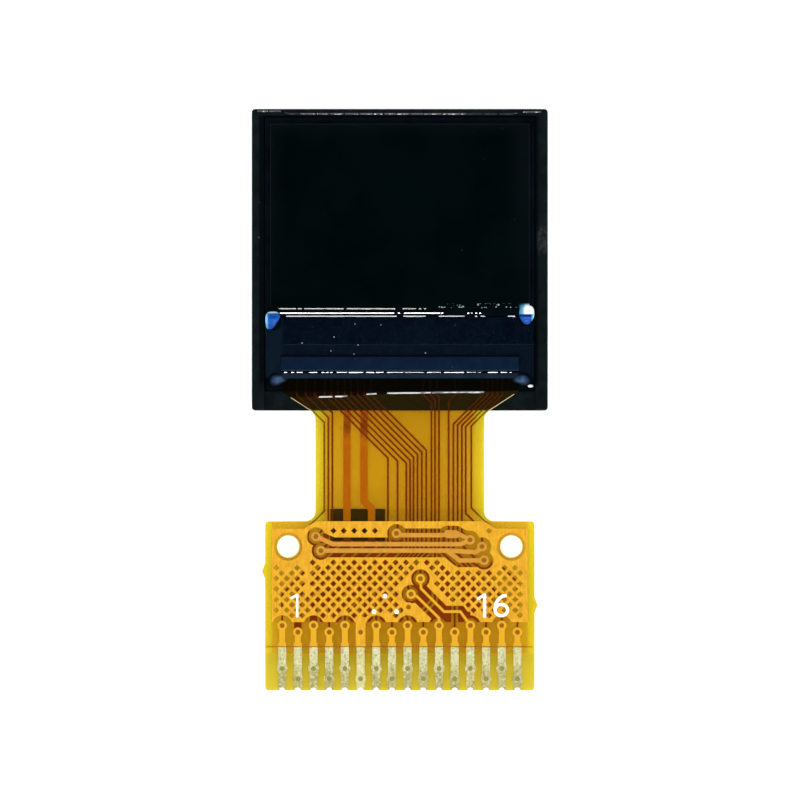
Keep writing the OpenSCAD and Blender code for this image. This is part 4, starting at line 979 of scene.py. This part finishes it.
# %% Flex fillet
FILLET_RUN, FILLET_WANDER, FILLET_STEP = 0.2, 0.02, 0.5
FILLET_LAP, FILLET_LIP, FILLET_FALL, FILLET_FOOT = 0.02, 0.012, 0.01, 0.03
fillet_resin = finish("blue_grey_resin", (0.0018, 0.0068, 0.0135), (0.0038, 0.0115, 0.0225),
                      3.0, 0.12, 0.26, 0.004, specular=0.08)
base_hi = box_mm("flex_base_film")[1]
fillet_end = box_mm("right_end_glue")[0][0]
fillet_x = np.linspace(-fillet_end, fillet_end, 500)
reach = FILLET_RUN + FILLET_WANDER * waver(fillet_x, FILLET_STEP, seed=12)
across = stacked(FILLET_LAP, FILLET_LAP, -reach / 2, -reach, -reach)
upward = stacked(-FILLET_FOOT, FILLET_LIP, 0.0, -FILLET_FALL, -FILLET_FOOT)
fillet = carry(stacked(fillet_x, *base_hi[1:]), stacked(across, upward))
surface("flex_bond_fillet", fillet, fillet_resin, smooth=False)

# %% [markdown]
# ### Print
# The first and last pad are numbered in white ink. A stroke of ink is a flat section carried along a
# line; the round of the six is an ellipse and its neck a quarter of a larger one. Each stroke is
# resampled to the same number of stations, so that a numeral is one grid.

# %% Numerals
INK_HEIGHT, INK_FOOT, CROSS_LIFT = 0.012, 0.0005, 0.002
STROKE_STATIONS = 48
BOWL_CENTRE, BOWL_REACH = np.array([501.3, 610.0]), np.array([6.3, 5.6])
NECK_CENTRE, NECK_REACH = np.array([506.5, 609.0]), np.array([11.5, 13.6])
white_ink = finish("white_ink", (0.78, 0.78, 0.76), (0.92, 0.92, 0.9), 12.0, 0.45, 0.6)


def stroke(pixels, width, lift=0.0):
    """A flat section carried along a line through pixels, resampled evenly by its length. Strokes that
    cross have different lifts, so that their tops don't lie in one plane."""
    line = at_pixel(*np.transpose(pixels))
    gone = np.append(0, np.cumsum(np.linalg.norm(np.diff(line, axis=0), axis=1)))
    even = np.linspace(0, gone[-1], STROKE_STATIONS)
    x, y = (np.interp(even, gone, column) for column in line.T)
    half, top = width / 2, INK_HEIGHT + lift
    flat = np.array([[half, INK_FOOT], [half, top], [-half, top], [-half, INK_FOOT]])
    return carry(stacked(x, y, cover_top), flat)


turn, swing = np.linspace(0, 2 * math.pi, 40), np.linspace(0, math.pi / 2, 20)
bowl = BOWL_CENTRE + BOWL_REACH * stacked(-np.cos(turn), np.sin(turn))
neck = NECK_CENTRE - NECK_REACH * stacked(np.cos(swing), np.sin(swing))
left_one = np.stack([stroke([(297.2, 593.8), (297.2, 617.2)], 0.1),
                     stroke([(290.6, 598.4), (297.4, 594.6)], 0.09, CROSS_LIFT)])
sixteen = np.stack([stroke([(484.5, 593.6), (484.5, 617.4)], 0.13),
                    stroke([(477.2, 599.2), (484.4, 594.9)], 0.11, CROSS_LIFT),
                    stroke(bowl, 0.13),
                    stroke(neck, 0.13, CROSS_LIFT)])
surface("print_left_one", left_one, white_ink, smooth=False)
surface("print_sixteen", sixteen, white_ink, smooth=False)

# %% [markdown]
# Three plain dots sit between the numbers. Ink that stands in a round dot is a low dome.

# %% Dots
DOT_RADIUS = 0.1


def domes(centres, radius, height, foot):
    """Low round dots: polar rings whose height is a quarter cosine, closed by a flat under side."""
    turn, fall = polar(around=24, down=13)
    ring = radius * np.sin(fall)
    level = foot + height * np.clip(np.cos(fall), 0, 1)
    dome = stacked(ring * np.cos(turn), ring * np.sin(turn), level)
    return stacked(*centres.T, 0.0)[:, None, None, :] + dome


dots = domes(at_pixel([385, 374, 396.5], [596, 611.5, 611.5]), DOT_RADIUS, INK_HEIGHT, cover_top)
surface("print_dots", dots, white_ink)

# %% [markdown]
# ### Filled vias
# A via is a plated hole, and the glue of the cover films runs into it, so no light comes through.
# The plugs are low domes that lap onto the copper rings. Their places are read from the plated
# barrels: all points within a barrel's width of one of its points belong to it.

# %% Via plugs
BARREL_REACH, PLUG_RADIUS, PLUG_RISE = 0.25, 0.112, 0.003
PLUG_SINK = PLUG_RISE / 6
barrel_mesh = solids["via_barrels"].data
barrel_points = np.empty(len(barrel_mesh.vertices) * 3)
barrel_mesh.vertices.foreach_get("co", barrel_points)
left_over = barrel_points.reshape(-1, 3)[:, :2] / MM
via_places = []
while len(left_over):
    same = np.linalg.norm(left_over - left_over[0], axis=1) < BARREL_REACH
    via_places.append((left_over[same].min(0) + left_over[same].max(0)) / 2)
    left_over = left_over[~same]
plug_resin = finish("via_plug_resin", (0.13, 0.05, 0.004), (0.22, 0.09, 0.007),
                    14.0, 0.5, 0.65, specular=0.05)
paint(plug_resin, (0.17, 0.15, 0.04), bare)
pads_top = box_mm("solder_pads")[1][2]
plugs = domes(np.array(via_places), PLUG_RADIUS, PLUG_RISE, pads_top - PLUG_SINK)
surface("via_plugs", plugs, plug_resin)
print("vias:", len(via_places))

# %% [markdown]
# ### Dust and a glint
# A few larger specks lie on the ledge and on the frame. Each is a small ball stretched to its own
# size, and the last and largest is a flat pale flake: a painted highlight for lamp light glinting
# on the frame's lower bar.

# %% Dust specks and a glint
SPECK_PIXELS = ((334, 337), (355, 324), (381, 325), (331, 351), (358, 345), (354, 354), (302, 343),
                (425.5, 353), (539.3, 373), (530.5, 386))
SMALLEST, LARGEST, GLINT_FLAKE = 0.014, 0.03, (0.14, 0.07, 0.03)
WALL_REST, LEDGE_REST = wall_top - 0.03, ledge_top + 0.01
dust_and_glint_grey = finish("pale_dust_and_glint", (0.3, 0.33, 0.36), (0.6, 0.64, 0.68), 20.0, 0.7, 0.9)
centres = at_pixel(*np.transpose(SPECK_PIXELS))
turn, fall = polar(around=8, down=6)
ball = stacked(np.sin(fall) * np.cos(turn), np.sin(fall) * np.sin(turn), np.cos(fall))
size = np.random.default_rng(21).uniform(SMALLEST, LARGEST, (len(centres), 1, 1, 3))
# Painted highlight: the last, flat pale flake on the frame's lower bar.
size[-1, 0, 0] = GLINT_FLAKE
balls = ball * size
balls[..., :2] += centres[:, None, None, :]
balls[..., 2] += np.where(centres[:, :1, None] > glass_hi[0], WALL_REST, LEDGE_REST)
surface("dust_and_glint_specks", balls, dust_and_glint_grey)
